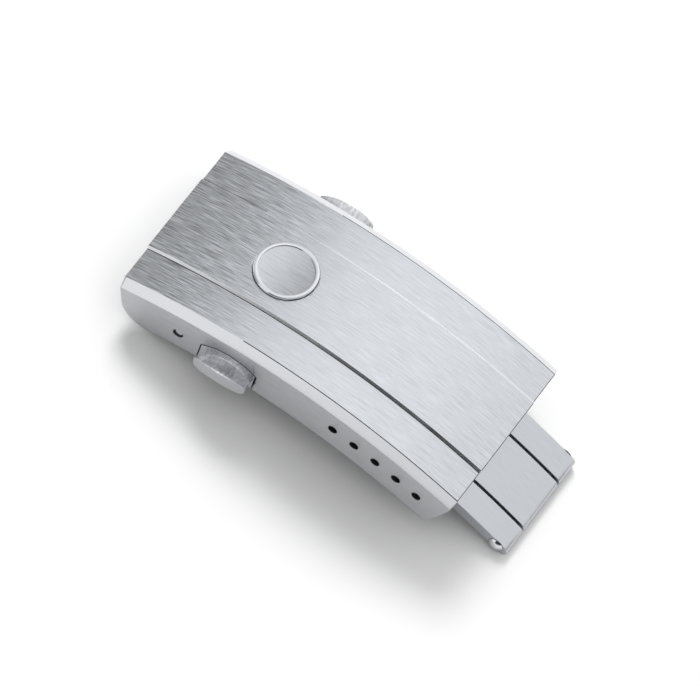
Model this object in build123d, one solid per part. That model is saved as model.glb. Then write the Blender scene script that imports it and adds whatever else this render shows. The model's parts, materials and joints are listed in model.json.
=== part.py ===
"""Three-fold bracelet clasp with two push buttons, closed and resting on its blades.

The whole clasp follows one arch. Places along it are stations, measured in millimetres along
the brushed top plate from the middle of the cover, and depths, measured square to that plate.
X runs along the arch, Y across the bracelet and Z up.
"""
from build123d import *
from math import cos, degrees, pi, radians, sin
import os

# Cover: a curved shell, open below and at both ends
plate_radius = 71.0        # brushed top plate, beside the raised band
plate_half_length = 20.0   # along the arch, from the middle to either end
cover_width = 20.0
top_thickness = 1.15
wall_thickness = 0.95
wall_height = 5.6
bevel_width = 0.95         # polished bevel along both long edges
bevel_drop = 0.72
band_half_width = 5.05     # raised centre band, at its foot
band_slope = 0.22
band_rise = 0.30
left_corner_radius = 2.7
right_undercut = 0.85      # how far the right end leans in at its foot
right_bow = 0.18

# Spring-bar holes for the first strand
adjust_hole_count = 5
adjust_hole_radius = 0.5
adjust_hole_pitch = 2.6
adjust_hole_depth = 3.03
adjust_first_station = 5.9

# Folding blades
blade_top_depth = 4.70
blade_thickness = 1.40
blade_end_station = 28.5
centre_width_share = 0.4884  # of the two blades' width together
blade_slit = 0.30
neck_station = -11.0       # where the centre blade starts to rise to its hinge
crotch_station = -14.0     # inner end of the fork's slot
head_station = -18.9       # outer end of the fork's head

# Hinge of the centre blade in the cover
cover_pin_station = -13.1
cover_pin_radius = 0.5
cover_pin_recess = 0.15
eye_wall = 0.48
eye_gap = 0.20             # between the hinge tube and the fork's head below it
running_clearance = 0.03
side_clearance = 0.15

# Hinge between the blades
blade_pin_station = 27.05
blade_pin_radius = 0.5
rivet_head_radius = 0.82
rivet_head_height = 0.38

# Lug that holds the second strand
lug_half_width = 4.2
lug_station = -16.9
lug_half_length = 1.45
lug_height = 1.95
lug_bore_radius = 0.5
lug_bore_height = 0.70     # of its axis over the fork's head
lug_rivet_radius = 0.45
lug_rivet_spread = 2.6
lug_corner_radius = 0.9

# Badge, a plain round medallion let into the band
badge_station = -7.1
badge_radius = 3.3
badge_thickness = 0.60
badge_recess = 0.25
badge_rim_width = 0.42
badge_rim_height = 0.16
badge_rim_chamfer = 0.10
badge_peg_radius = 0.45
badge_peg_spread = 1.7

# Latch housing, screwed under the top plate
latch_station = -7.1
housing_half_length = 3.6
housing_side_gap = 0.45
housing_thickness = 0.50
flange_inner = 1.7
flange_thickness = 0.6
flange_gap = 0.40          # between the flanges' feet and the blades
guide_pin_radius = 0.4
guide_pin_spread = 2.45
guide_pin_half_length = 8.0
screw_radius = 0.4
screw_bite = 0.75
screw_head_radius = 0.75
screw_head_height = 0.42
screw_seat_depth = 0.05
screw_slot_width = 0.22
screw_slot_depth = 0.18
screw_spread = 2.0

# Push buttons, in notches that are open at the foot of the walls
notch_left_station = -10.35
notch_right_station = -3.55
notch_side_depth = 3.15
notch_crown_depth = 2.24
button_gap = 0.12
button_crown_gap = 0.22
button_trailing_gap = 0.60
button_travel = 0.8
button_face_setback = 0.05
button_foot_lift = 0.05
shoulder_half_length = 3.95
shoulder_thickness = 1.75
pad_station = -6.95
pad_reach = 2.14           # how far the pad stands out of the wall, in its middle
pad_plan_radius = 11.6
pad_corner_share = 0.5     # rounding of its lower corners, as a share of its sides' height
pad_root_half_width = 2.60
pad_root_foot_depth = 5.30
pad_root_side_height = 0.50
pad_root_crown = 1.40
pad_front_half_width = 3.20
pad_front_foot_depth = 4.35
pad_front_side_height = 1.59
pad_front_crown = 0.26

# Latch pawls and the catches that they hold
pawl_half_width = 1.2
pawl_arm_thickness = 0.62
pawl_rivet_radius = 0.4
pawl_rivet_inset = 0.85
latch_play = 0.15
catch_gap = 0.43           # between a catch's top and the pawl's arm
catch_inset = 0.25         # from a rail's outer edge
catch_ramp = 0.30

# Shares of the width between a pressed shoulder and the flange, from outside in
catch_share = 0.45
lip_share = 0.19
leg_gap_share = 0.155
leg_share = 0.205
tooth_share = 0.24         # from the pawl's leg back under the lip
tenon_share = 0.17

# Shares of a catch's height over the blade
lip_height_share = 0.39
tooth_height_share = 0.34

# Button springs, wound round the guide pins
spring_wire_radius = 0.15
spring_wire_sides = 6
spring_half_turns = 7
spring_play = 0.12

sliding_clearance = 0.05
working_gap = 0.20
overrun = 1.0

half_width = cover_width / 2
inner_half_width = half_width - wall_thickness
housing_half_width = inner_half_width - housing_side_gap
blade_foot_depth = blade_top_depth + blade_thickness
blade_pin_depth = blade_top_depth + blade_thickness / 2
eye_radius = cover_pin_radius + running_clearance + eye_wall
cover_pin_depth = blade_top_depth - eye_gap - eye_radius
lug_top_depth = blade_top_depth - lug_height
lug_bore_depth = blade_top_depth - lug_bore_height
button_top_depth = top_thickness + housing_thickness + working_gap
flange_outer = flange_inner + flange_thickness
shoulder_outer = inner_half_width - 2 * sliding_clearance
shoulder_inner = shoulder_outer - shoulder_thickness
shoulder_foot_depth = blade_top_depth - working_gap
flange_foot_depth = blade_top_depth - flange_gap
guide_pin_depth = (button_top_depth + shoulder_foot_depth) / 2
latch_width = shoulder_inner - flange_outer - 2 * (button_travel + working_gap)
catch_outer = shoulder_inner - button_travel - working_gap
catch_inner = catch_outer - catch_share * latch_width
lip_tip = catch_inner - lip_share * latch_width
pawl_leg_outer = lip_tip - leg_gap_share * latch_width
pawl_leg_inner = pawl_leg_outer - leg_share * latch_width
tooth_tip = pawl_leg_outer + tooth_share * latch_width
rail_outer = catch_outer + catch_inset
centre_half_width = centre_width_share * rail_outer
rail_inner = centre_half_width + blade_slit
catch_middle = (catch_outer + catch_inner) / 2
catch_tenon_radius = tenon_share * latch_width
catch_top_depth = button_top_depth + pawl_arm_thickness + catch_gap
catch_lip_height = lip_height_share * (blade_top_depth - catch_top_depth)
pawl_tooth_height = tooth_height_share * (blade_top_depth - catch_top_depth)
arch_axis = Axis((0, 0, -plate_radius), (0, 1, 0))


def angle(station):
    """Angle round the arch's centre, in degrees, of a station along the plate."""
    return degrees(station / plate_radius)


def at(station, depth):
    """Point of the side view, as (x, z), at a station and a depth below the plate."""
    radius = plate_radius - depth
    turn = radians(angle(station))
    return radius * sin(turn), radius * cos(turn) - plate_radius


def seat(station, depth, across=0):
    """Place on the arch whose local Z points square out of the plate."""
    x, z = at(station, depth)
    return Pos(x, across, z) * Rot(0, angle(station), 0)


def side_seat(station, depth):
    """The same place in the flat side view."""
    x, z = at(station, depth)
    return Pos(x, z) * Rot(0, 0, -angle(station))


def arc_along(first, last, depth):
    """Arc of the side view that follows the arch from one station to another."""
    return ThreePointArc(at(first, depth), at((first + last) / 2, depth), at(last, depth))


def sector(first, last, top, foot):
    """Side view of a plate that follows the arch between two stations and two depths."""
    upper = arc_along(first, last, top)
    lower = arc_along(last, first, foot)
    return make_face([upper, Line(upper @ 1, lower @ 0), lower, Line(lower @ 1, upper @ 0)])


def slab(side_view, near, far):
    """Solid of a side view between two places across the bracelet."""
    return Pos(0, far, 0) * extrude(Plane.XZ * side_view, far - near)


def cross_rod(station, depth, radius, near, far):
    """Round rod or bore across the bracelet."""
    return slab(side_seat(station, depth) * Circle(radius), near, far)


def stud(station, depth, radius, foot, top, across=0):
    """Round stud square to the plate, from foot to top as heights over the given depth."""
    peg = Pos(0, across, (foot + top) / 2) * Cylinder(radius, top - foot)
    return seat(station, depth) * peg


def both_sides(near_solid):
    """A near piece and its mirror image on the far side."""
    return near_solid, near_solid.mirror(Plane.XZ)


def cover_section():
    """Cross-section of the cover in the middle of the arch, as a closed outline."""
    foot = -wall_height - overrun
    right_half = [
        (band_half_width - band_slope, band_rise),
        (band_half_width, 0),
        (half_width - bevel_width, 0),
        (half_width, -bevel_drop),
        (half_width, foot),
        (inner_half_width, foot),
        (inner_half_width, -top_thickness),
    ]
    left_half = [(-across, height) for across, height in reversed(right_half)]
    return make_face(Polyline(*right_half, *left_half, close=True))


def cover_side_view():
    """Side view of the cover: rounded at the left foot, leaning in at the right foot."""
    crown = -band_rise - overrun
    top = arc_along(-plate_half_length, plate_half_length, crown)
    right_side = ThreePointArc(
        at(plate_half_length, 0),
        at(plate_half_length - right_bow, (wall_height + bevel_drop) / 2),
        at(plate_half_length - right_undercut, wall_height),
    )
    foot = arc_along(plate_half_length - right_undercut, -plate_half_length, wall_height)
    outline = make_face([
        top,
        Line(top @ 1, right_side @ 0),
        right_side,
        foot,
        Line(foot @ 1, top @ 0),
    ])
    left_foot = outline.vertices().sort_by(Axis.X)[0:2].sort_by(Axis.Y)[0]
    return fillet(left_foot, left_corner_radius)


def notch_side_view(left_gap=0, crown_gap=0, right_gap=0, foot_depth=wall_height + overrun):
    """Side view of a button notch with upright sides, or of a block that stands in it."""
    left, _ = at(notch_left_station, notch_side_depth)
    right, _ = at(notch_right_station, notch_side_depth)
    middle = (notch_left_station + notch_right_station) / 2
    crown = ThreePointArc(
        at(notch_left_station, notch_side_depth + crown_gap),
        at(middle, notch_crown_depth + crown_gap),
        at(notch_right_station, notch_side_depth + crown_gap),
    )
    foot = arc_along(notch_right_station + overrun, notch_left_station - overrun, foot_depth)
    left_drop = Line(crown @ 0, (left, (foot @ 1).Y))
    right_drop = Line(crown @ 1, (right, (foot @ 0).Y))
    room = make_face([crown, right_drop, Line(right_drop @ 1, left_drop @ 1), left_drop])
    bottom = sector(notch_left_station - overrun, notch_right_station + overrun, 0, foot_depth)
    width = right - left - left_gap - right_gap
    window = Pos(left + left_gap + width / 2, 0) * Rectangle(width, 4 * (wall_height + overrun))
    return room & bottom & window


def make_cover():
    """Curved cover shell with its notches, holes and badge seat."""
    turn = angle(plate_half_length + overrun)
    section = (Plane.YZ * cover_section()).rotate(arch_axis, -turn)
    shell = revolve(section, arch_axis, 2 * turn)
    shell = shell & slab(cover_side_view(), -half_width - overrun, half_width + overrun)
    reach = half_width + overrun
    for notch in both_sides(slab(notch_side_view(), -reach, -inner_half_width + wall_thickness / 2)):
        shell -= notch
    pin_bore_radius = cover_pin_radius + running_clearance
    shell -= cross_rod(cover_pin_station, cover_pin_depth, pin_bore_radius, -reach, reach)
    for station in adjust_stations():
        shell -= cross_rod(station, adjust_hole_depth, adjust_hole_radius, -reach, reach)
    recess_floor = band_rise - badge_recess
    shell -= stud(badge_station, 0, badge_radius + running_clearance, recess_floor, band_rise + overrun)
    for side in (-1, 1):
        shell -= stud(badge_station, 0, badge_peg_radius, -top_thickness - overrun, band_rise,
                      across=side * badge_peg_spread)
        shell -= stud(screw_station(side), top_thickness, screw_radius, -overrun, screw_bite)
    return shell


def screw_station(side):
    """Station of the left (-1) or right (+1) housing screw."""
    return latch_station + side * screw_spread


def adjust_stations():
    """Stations of the spring-bar holes, spaced along their own radius."""
    pitch = adjust_hole_pitch * plate_radius / (plate_radius - adjust_hole_depth)
    return [adjust_first_station + index * pitch for index in range(adjust_hole_count)]


def make_badge():
    """Plain medallion with a raised rim and two pegs."""
    floor = band_rise - badge_recess
    disc = stud(badge_station, 0, badge_radius, floor, floor + badge_thickness)
    disc = chamfer(disc.edges().filter_by(GeomType.CIRCLE).sort_by(Axis.Z)[-1], badge_rim_chamfer)
    field = stud(badge_station, 0, badge_radius - badge_rim_width,
                 floor + badge_thickness - badge_rim_height, floor + badge_thickness + overrun)
    disc -= field
    for side in (-1, 1):
        disc += stud(badge_station, 0, badge_peg_radius, -top_thickness, floor,
                     across=side * badge_peg_spread)
    return disc


def make_cover_hinge_pin():
    """Plain pin across the cover, its ends a little below the wall faces."""
    reach = half_width - cover_pin_recess
    return cross_rod(cover_pin_station, cover_pin_depth, cover_pin_radius, -reach, reach)


def rounded_end(station, depth):
    """Disc that rounds the end of a blade."""
    return side_seat(station, depth) * Circle(blade_thickness / 2)


def blade_strip(first):
    """Side view of a blade from a station to its rounded right end."""
    last = blade_end_station - blade_thickness / 2
    return sector(first, last, blade_top_depth, blade_foot_depth) + rounded_end(last, blade_pin_depth)


def make_centre_blade():
    """Centre blade: a strip that rises through a neck to a full-width hinge tube."""
    eye = side_seat(cover_pin_station, cover_pin_depth) * Circle(eye_radius)
    neck = make_hull(eye.edges() + rounded_end(neck_station, blade_pin_depth).edges())
    strip = blade_strip(neck_station) + neck
    blade = slab(strip, -centre_half_width, centre_half_width)
    tube_reach = inner_half_width - side_clearance
    blade += slab(eye, -tube_reach, tube_reach)
    for station, depth, radius in (
        (cover_pin_station, cover_pin_depth, cover_pin_radius),
        (blade_pin_station, blade_pin_depth, blade_pin_radius),
    ):
        blade -= cross_rod(station, depth, radius + running_clearance, -half_width, half_width)
    return blade


def make_fork_blade():
    """Fork blade: two rails beside the centre blade, joined by a head at the left."""
    blade = slab(blade_strip(head_station), -rail_outer, rail_outer)
    slot = sector(crotch_station, blade_end_station + overrun,
                  blade_top_depth - overrun, blade_foot_depth + overrun)
    blade -= slab(slot, -rail_inner, rail_inner)
    uprights = blade.edges().filter_by(GeomType.LINE).filter_by(Axis.Y, reverse=True)
    blade = fillet(uprights.sort_by(Axis.X)[:2], lug_corner_radius)
    blade -= cross_rod(blade_pin_station, blade_pin_depth, blade_pin_radius, -half_width, half_width)
    below = -blade_thickness - overrun
    for side in (-1, 1):
        blade -= stud(latch_station, blade_top_depth, catch_tenon_radius, below, overrun,
                      across=side * catch_middle)
        blade -= stud(lug_station, blade_top_depth, lug_rivet_radius, below, overrun,
                      across=side * lug_rivet_spread)
    return blade


def domed_head(inward):
    """Head of the blade hinge pin: a low dome that stands on the outer face of a rail."""
    dome_radius = (rivet_head_radius ** 2 + rivet_head_height ** 2) / (2 * rivet_head_height)
    ball = Pos(0, 0, rivet_head_height - dome_radius) * Sphere(dome_radius)
    disc = Pos(0, 0, rivet_head_height / 2) * Cylinder(rivet_head_radius, rivet_head_height)
    x, z = at(blade_pin_station, blade_pin_depth)
    turned = Rot(90 * inward, 0, 0) * (ball & disc)
    return Pos(x, -inward * rail_outer, z) * turned


def make_blade_hinge_pin():
    """Shaft through the rails and the centre blade, with its near head."""
    shaft = cross_rod(blade_pin_station, blade_pin_depth, blade_pin_radius, -rail_outer, rail_outer)
    return shaft + domed_head(1)


def make_strand_lug():
    """Lug on the fork's head, bored across for the second strand."""
    first, last = lug_station - lug_half_length, lug_station + lug_half_length
    block = sector(first, last, lug_top_depth, blade_top_depth)
    shoulders = block.vertices().sort_by(Axis.Y)[-2:]
    lug = slab(fillet(shoulders, lug_corner_radius), -lug_half_width, lug_half_width)
    lug -= cross_rod(lug_station, lug_bore_depth, lug_bore_radius, -half_width, half_width)
    for side in (-1, 1):
        lug -= stud(lug_station, blade_top_depth, lug_rivet_radius, -overrun, lug_rivet_bite(),
                    across=side * lug_rivet_spread)
    return lug


def lug_rivet_bite():
    """How far the rivets reach into the lug: halfway to its bore."""
    return (blade_top_depth - lug_bore_depth - lug_bore_radius) / 2


def make_lug_rivets():
    """Two rivets from the foot of the head into the lug."""
    return [stud(lug_station, blade_top_depth, lug_rivet_radius, -blade_thickness, lug_rivet_bite(),
                 across=side * lug_rivet_spread) for side in (-1, 1)]


def make_latch_housing():
    """Plate under the cover with two flanges that carry the guide pins."""
    first, last = latch_station - housing_half_length, latch_station + housing_half_length
    plate_foot = top_thickness + housing_thickness
    housing = slab(sector(first, last, top_thickness, plate_foot), -housing_half_width, housing_half_width)
    flange = slab(sector(first, last, plate_foot, flange_foot_depth), -flange_outer, -flange_inner)
    for wall in both_sides(flange):
        housing += wall
    for side in (-1, 1):
        station = screw_station(side)
        housing -= stud(station, plate_foot, screw_radius, -overrun, housing_thickness + overrun)
        housing -= stud(station, plate_foot, screw_head_radius, -overrun, screw_seat_depth)
        housing -= guide_rod(side, guide_pin_radius, half_width)
    return housing


def guide_rod(side, radius, reach, near_end=None):
    """Rod or bore on the line of a guide pin, left (-1) or right (+1) of the latch."""
    start = -reach if near_end is None else near_end
    rod = slab(Pos(side * guide_pin_spread, 0) * Circle(radius), start, reach)
    return seat(latch_station, guide_pin_depth) * rod


def make_housing_screws():
    """Two slotted screws that hold the housing to the cover."""
    head_top = top_thickness + housing_thickness - screw_seat_depth
    screws = []
    for side in (-1, 1):
        station = screw_station(side)
        shank = stud(station, head_top, screw_radius, 0, head_top - top_thickness + screw_bite)
        head = stud(station, head_top, screw_head_radius, -screw_head_height, 0)
        slot = Box(screw_slot_width, screw_head_radius * 2, screw_slot_depth * 2)
        screws.append(shank + head - seat(station, head_top) * Pos(0, 0, -screw_head_height) * slot)
    return screws


def button_block():
    """The part of the near button that fills its notch, flush with the wall."""
    foot_depth = wall_height - button_foot_lift
    outline = notch_side_view(button_gap, button_crown_gap, button_trailing_gap, foot_depth)
    return slab(outline, -half_width + button_face_setback, -shoulder_outer + shoulder_thickness / 2)


def pad_profile(across, foot_depth, side, side_height, crown):
    """Upright section of the near thumb pad: arched on top, rounded at its lower corners."""
    top = ThreePointArc((-side, side_height), (0, side_height + crown), (side, side_height))
    outline = make_face([top, Polyline(top @ 1, (side, 0), (-side, 0), top @ 0)])
    lower_corners = outline.vertices().sort_by(Axis.Y)[:2]
    outline = fillet(lower_corners, pad_corner_share * side_height)
    return Pos(0, across, 0) * (Plane.XZ * (side_seat(pad_station, foot_depth) * outline))


def button_pad():
    """Thumb pad of the near button: it climbs and widens outwards, and is rounded in plan."""
    front = -half_width - pad_reach
    bar = loft([
        pad_profile(-half_width + button_face_setback, pad_root_foot_depth, pad_root_half_width,
                    pad_root_side_height, pad_root_crown),
        pad_profile(front, pad_front_foot_depth, pad_front_half_width,
                    pad_front_side_height, pad_front_crown),
    ], ruled=True)
    x, z = at(pad_station, pad_root_foot_depth)
    plan = Pos(x, front + pad_plan_radius, z) * Cylinder(pad_plan_radius, 2 * wall_height)
    return bar & plan


def pawl_groove():
    """Room for the pawl's arm in the top of the button, from the arm's tail inwards."""
    length = shoulder_thickness * 2
    height = pawl_arm_thickness + overrun
    across = -shoulder_outer + pawl_tail_inset() + length / 2
    groove = Pos(0, across, height / 2 - pawl_arm_thickness) * Box(2 * pawl_half_width, length, height)
    return seat(latch_station, button_top_depth) * groove


def pawl_tail_inset():
    """How far the pawl's tail stops short of the button's outer shoulder."""
    return pawl_rivet_inset - 1.2 * pawl_rivet_radius


def make_push_button():
    """Near push button: thumb pad, notch block and an inner shoulder that rides on two pins."""
    first, last = latch_station - shoulder_half_length, latch_station + shoulder_half_length
    shoulder = sector(first, last, button_top_depth, shoulder_foot_depth)
    button = slab(shoulder, -shoulder_outer, -shoulder_inner)
    button += button_block()
    button += button_pad()
    button -= pawl_groove()
    bore_end = -guide_pin_half_length - button_travel - working_gap / 2
    for side in (-1, 1):
        button -= guide_rod(side, guide_pin_radius + sliding_clearance, 0, near_end=bore_end)
    button -= stud(latch_station, button_top_depth, pawl_rivet_radius, -pawl_rivet_length(), 0,
                   across=-shoulder_outer + pawl_rivet_inset)
    return button


def pawl_rivet_length():
    """Length of the rivet that joins a pawl to its button."""
    return pawl_arm_thickness * 2.5


def make_pawl_rivet():
    """Rivet through the near pawl's arm into the button."""
    return stud(latch_station, button_top_depth, pawl_rivet_radius, -pawl_rivet_length(), 0,
                across=-shoulder_outer + pawl_rivet_inset)


def make_pawl():
    """Near pawl: an arm over the catch, a leg down its inner side and a tooth under its lip."""
    top = -button_top_depth
    arm_foot = top - pawl_arm_thickness
    tooth_top = -(catch_top_depth + catch_lip_height + latch_play)
    tooth_foot = tooth_top - pawl_tooth_height
    tail = shoulder_outer - pawl_tail_inset()
    outline = Polyline(
        (-tail, top),
        (-pawl_leg_inner, top),
        (-pawl_leg_inner, tooth_foot),
        (-pawl_leg_outer, tooth_foot),
        (-tooth_tip, tooth_foot + catch_ramp),
        (-tooth_tip, tooth_top),
        (-pawl_leg_outer, tooth_top),
        (-pawl_leg_outer, arm_foot),
        (-tail, arm_foot),
        close=True,
    )
    pawl = extrude(Plane.YZ * make_face(outline), pawl_half_width, both=True)
    return seat(latch_station, 0) * pawl - make_pawl_rivet()


def make_catch():
    """Near catch: an upright hook on a rail, with a tenon riveted through the rail."""
    lip_foot = -catch_top_depth - catch_lip_height
    outline = Polyline(
        (-catch_outer, -blade_top_depth),
        (-catch_outer, -catch_top_depth),
        (-lip_tip - catch_ramp, -catch_top_depth),
        (-lip_tip, -catch_top_depth - catch_ramp),
        (-lip_tip, lip_foot),
        (-catch_inner, lip_foot),
        (-catch_inner, -blade_top_depth),
        close=True,
    )
    hook = seat(latch_station, 0) * extrude(Plane.YZ * make_face(outline), pawl_half_width, both=True)
    tenon = stud(latch_station, blade_top_depth, catch_tenon_radius, -blade_thickness, 0,
                 across=-catch_middle)
    return hook + tenon


def spring_radius():
    """Mean radius of the button springs, just clear of the guide pins."""
    return guide_pin_radius + spring_play + spring_wire_radius


def biarc(first, first_way, last, last_way):
    """Two arcs that meet smoothly between two points with given headings."""
    chord = last - first
    ways = first_way + last_way
    bend = 4 - ways.dot(ways)
    slope = chord.dot(ways)
    reach = ((slope ** 2 + bend * chord.dot(chord)) ** 0.5 - slope) / bend
    meeting = (first + first_way * reach + last - last_way * reach) * 0.5
    opening = TangentArc(first, meeting, tangent=first_way)
    return [opening, TangentArc(meeting, last, tangent=opening % 1)]


def helix_point(turn):
    """Point of a near spring's wire, after so many radians, with its axis along Y."""
    radius = spring_radius()
    length = shoulder_inner - flange_outer - 2 * spring_wire_radius
    advance = length * turn / (pi * spring_half_turns)
    return Vector(radius * cos(turn), -shoulder_inner + spring_wire_radius + advance, radius * sin(turn))


def helix_heading(turn):
    """Heading of the wire at that point."""
    radius = spring_radius()
    length = shoulder_inner - flange_outer - 2 * spring_wire_radius
    rise = length / (pi * spring_half_turns)
    return Vector(-radius * sin(turn), rise, radius * cos(turn)).normalized()


def spring_wire():
    """Centre line of a near spring, as biarcs of half a turn from the shoulder to the flange."""
    arcs = []
    for half in range(spring_half_turns):
        here = half * pi
        there = here + pi
        arcs += biarc(helix_point(here), helix_heading(here), helix_point(there), helix_heading(there))
    return Wire(arcs)


def gap_between_turns(path):
    """Least gap between the turns of a spring, measured on points of its centre line."""
    half_turn = 12
    count = spring_half_turns * half_turn
    spots = [path @ (index / count) for index in range(count + 1)]
    nearest = min(
        (spots[one] - spots[other]).length
        for one in range(count + 1)
        for other in range(one + half_turn, count + 1)
    )
    return nearest - 2 * spring_wire_radius


def make_springs():
    """The two springs of the near button."""
    path = spring_wire()
    print(f"least gap between spring turns: {gap_between_turns(path):.3f}")
    wire_section = RegularPolygon(spring_wire_radius, spring_wire_sides)
    section = Plane(origin=helix_point(0), z_dir=helix_heading(0)) * wire_section
    coil = sweep(section, path=path)
    middle = seat(latch_station, guide_pin_depth)
    return [middle * Pos(side * guide_pin_spread, 0) * coil for side in (-1, 1)]


def gather(node, solids):
    """One named node from one solid or a list of separate solids."""
    parts = solids if isinstance(solids, (list, tuple)) else [solids]
    return node, [solid for part in parts for solid in part.solids()]


def make_nodes():
    """Every piece of the clasp, by node name."""
    catch_near, catch_far = both_sides(make_catch())
    button_near, button_far = both_sides(make_push_button())
    pawl_near, pawl_far = both_sides(make_pawl())
    rivet_near, rivet_far = both_sides(make_pawl_rivet())
    springs = [both_sides(spring) for spring in make_springs()]
    guide_pins = [guide_rod(side, guide_pin_radius, guide_pin_half_length) for side in (-1, 1)]
    return dict([
        gather("cover", make_cover()),
        gather("badge", make_badge()),
        gather("cover_hinge_pin", make_cover_hinge_pin()),
        gather("latch_housing", make_latch_housing()),
        gather("housing_screws", make_housing_screws()),
        gather("guide_pins", guide_pins),
        gather("push_button_near", button_near),
        gather("push_button_far", button_far),
        gather("latch_pawl_near", pawl_near),
        gather("latch_pawl_far", pawl_far),
        gather("pawl_rivet_near", rivet_near),
        gather("pawl_rivet_far", rivet_far),
        gather("button_springs_near", [near for near, _ in springs]),
        gather("button_springs_far", [far for _, far in springs]),
        gather("centre_blade", make_centre_blade()),
        gather("fork_blade", make_fork_blade()),
        gather("blade_hinge_pin", make_blade_hinge_pin()),
        gather("blade_hinge_cap", domed_head(-1)),
        gather("catch_near", catch_near),
        gather("catch_far", catch_far),
        gather("strand_lug", make_strand_lug()),
        gather("strand_lug_rivets", make_lug_rivets()),
    ])


def resting_place(nodes):
    """Turn and shift that stand the clasp on the two ends of its blades, centred on the origin."""
    left_foot = head_station
    right_foot = blade_end_station - blade_thickness / 2
    turn = Rot(0, -angle((left_foot + right_foot) / 2), 0)
    about_centre = Pos(0, 0, -plate_radius) * turn * Pos(0, 0, plate_radius)
    box = Compound([about_centre * solid for solids in nodes.values() for solid in solids]).bounding_box()
    return Pos(-box.center().X, -box.center().Y, -box.min.Z) * about_centre


def main():
    os.makedirs("parts", exist_ok=True)
    nodes = make_nodes()
    place = resting_place(nodes)
    for name, solids in nodes.items():
        placed = [place * solid for solid in solids]
        shape = placed[0] if len(placed) == 1 else Compound(placed)
        export_step(shape, f"parts/{name}.step")
    named_places = {
        "cover hinge": (cover_pin_station, cover_pin_depth),
        "blade hinge": (blade_pin_station, blade_pin_depth),
        "lug bore": (lug_station, lug_bore_depth),
    }
    for index, station in enumerate(adjust_stations()):
        named_places[f"adjust hole {index + 1}"] = (station, adjust_hole_depth)
    for name, (station, depth) in named_places.items():
        x, z = at(station, depth)
        spot = (place * Pos(x, 0, z)).position
        print(f"{name}: x {spot.X:.4f}  z {spot.Z:.4f}")


main()
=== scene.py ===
"""Folding bracelet clasp in brushed and polished steel, dressed over its CAD frame.

The whole clasp follows one arch. A place on it is a station (millimetres along the top plate
from the middle of the cover), a place across the bracelet, and a depth below the top plate.
Shapes are worked out in the arch's own frame in millimetres and set into the row frame, in
metres, when their mesh is made.
"""
from __future__ import annotations

import json
import logging
import math
from dataclasses import dataclass, field
from enum import Enum, IntEnum
from typing import Any, ClassVar, Mapping, Sequence

import bmesh
import bpy
import numpy as np
from mathutils import Matrix, Vector


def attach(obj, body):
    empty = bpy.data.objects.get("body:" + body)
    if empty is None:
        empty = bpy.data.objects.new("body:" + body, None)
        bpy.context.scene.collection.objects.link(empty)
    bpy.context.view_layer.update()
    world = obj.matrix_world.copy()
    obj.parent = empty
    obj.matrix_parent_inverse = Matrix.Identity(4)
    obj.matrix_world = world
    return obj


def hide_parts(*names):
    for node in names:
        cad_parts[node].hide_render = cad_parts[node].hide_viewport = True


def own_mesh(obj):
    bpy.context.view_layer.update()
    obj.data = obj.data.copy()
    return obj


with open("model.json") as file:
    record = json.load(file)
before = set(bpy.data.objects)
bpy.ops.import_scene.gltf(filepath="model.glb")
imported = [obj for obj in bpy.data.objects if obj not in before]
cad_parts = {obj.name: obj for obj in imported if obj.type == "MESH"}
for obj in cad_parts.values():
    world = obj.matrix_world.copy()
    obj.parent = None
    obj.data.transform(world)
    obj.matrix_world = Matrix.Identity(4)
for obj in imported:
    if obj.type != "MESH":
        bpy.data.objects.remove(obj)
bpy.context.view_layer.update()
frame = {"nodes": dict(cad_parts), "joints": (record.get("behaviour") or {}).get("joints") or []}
LOG = logging.getLogger("clasp")
MM = 0.001
SEAM_REACH = 2e-7                         # metres within which two points are one
SLIVER = 1e-8                             # metres below which an edge has no length
OVERRUN = 1.0                             # mm that a cutting tool reaches past what it cuts
FLOAT_A, FLOAT_B = 2, 3                   # the Mix node's sockets by number: its kinds share names
COLOUR_A, COLOUR_B, COLOUR_OUT = 6, 7, 2


class Side(Enum):
    """The two long sides of the bracelet: the near one faces the camera."""
    NEAR = -1
    FAR = 1

    @property
    def word(self) -> str:
        """The word that names this side's pieces."""
        return self.name.lower()

    def span(self, one: float, other: float) -> list[float]:
        """The stretch between two distances from the middle on this side, from low to high."""
        return sorted((self.value * one, self.value * other))


class Axis(Enum):
    """The direction in which an outline is carried, or round which a profile is turned."""
    ACROSS = 1
    UPRIGHT = 2


class Rider(Enum):
    """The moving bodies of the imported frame."""
    COVER = "cover"
    CENTRE_BLADE = "centre_blade"
    FORK_BLADE = "fork_blade"
    NEAR_BUTTON = "near_button"
    FAR_BUTTON = "far_button"


class SteelSlot(Enum):
    """The record's material slots that new pieces take."""
    SATIN = "satin_steel"
    POLISHED = "polished_steel"
    SPRING = "spring_steel"


class Joining(Enum):
    """How one solid works on another."""
    CUT = "DIFFERENCE"
    ADD = "UNION"
    KEEP = "INTERSECT"


class CoverFinish(IntEnum):
    """Finish numbers of the cover, each named as its material in the finish set."""
    PLATE = 0
    WALL = 1
    MIRROR = 2
    INSIDE = 3
    # Painted shade: a dark finish on gaps, bores, notch faces and thin edge lines
    JOINT = 4
    STEP = 5


class ButtonFinish(IntEnum):
    """Finish numbers of a push button."""
    PAD = 0
    WALL = 1
    INSIDE = 2
    MIRROR = 3
    # Painted shade: a dark finish on the block's sides in the notch and the shoulder's ends
    JOINT = 4


class BadgeFinish(IntEnum):
    """Finish numbers of the badge."""
    MIRROR = 0
    PLATE = 1


class PinFinish(IntEnum):
    """Finish numbers of a hinge pin."""
    MIRROR = 0
    # Painted shade: a dark finish on the near dome's rim and the shaft in the slit
    JOINT = 1


def as_points(*parts: Any) -> np.ndarray:
    """Spreads coordinates over one grid and stacks them into points."""
    return np.stack(np.broadcast_arrays(*parts), axis=-1)


@dataclass(frozen=True)
class Place:
    """A station on the arch and a depth below its top plate, in millimetres."""
    station: float
    depth: float


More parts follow.
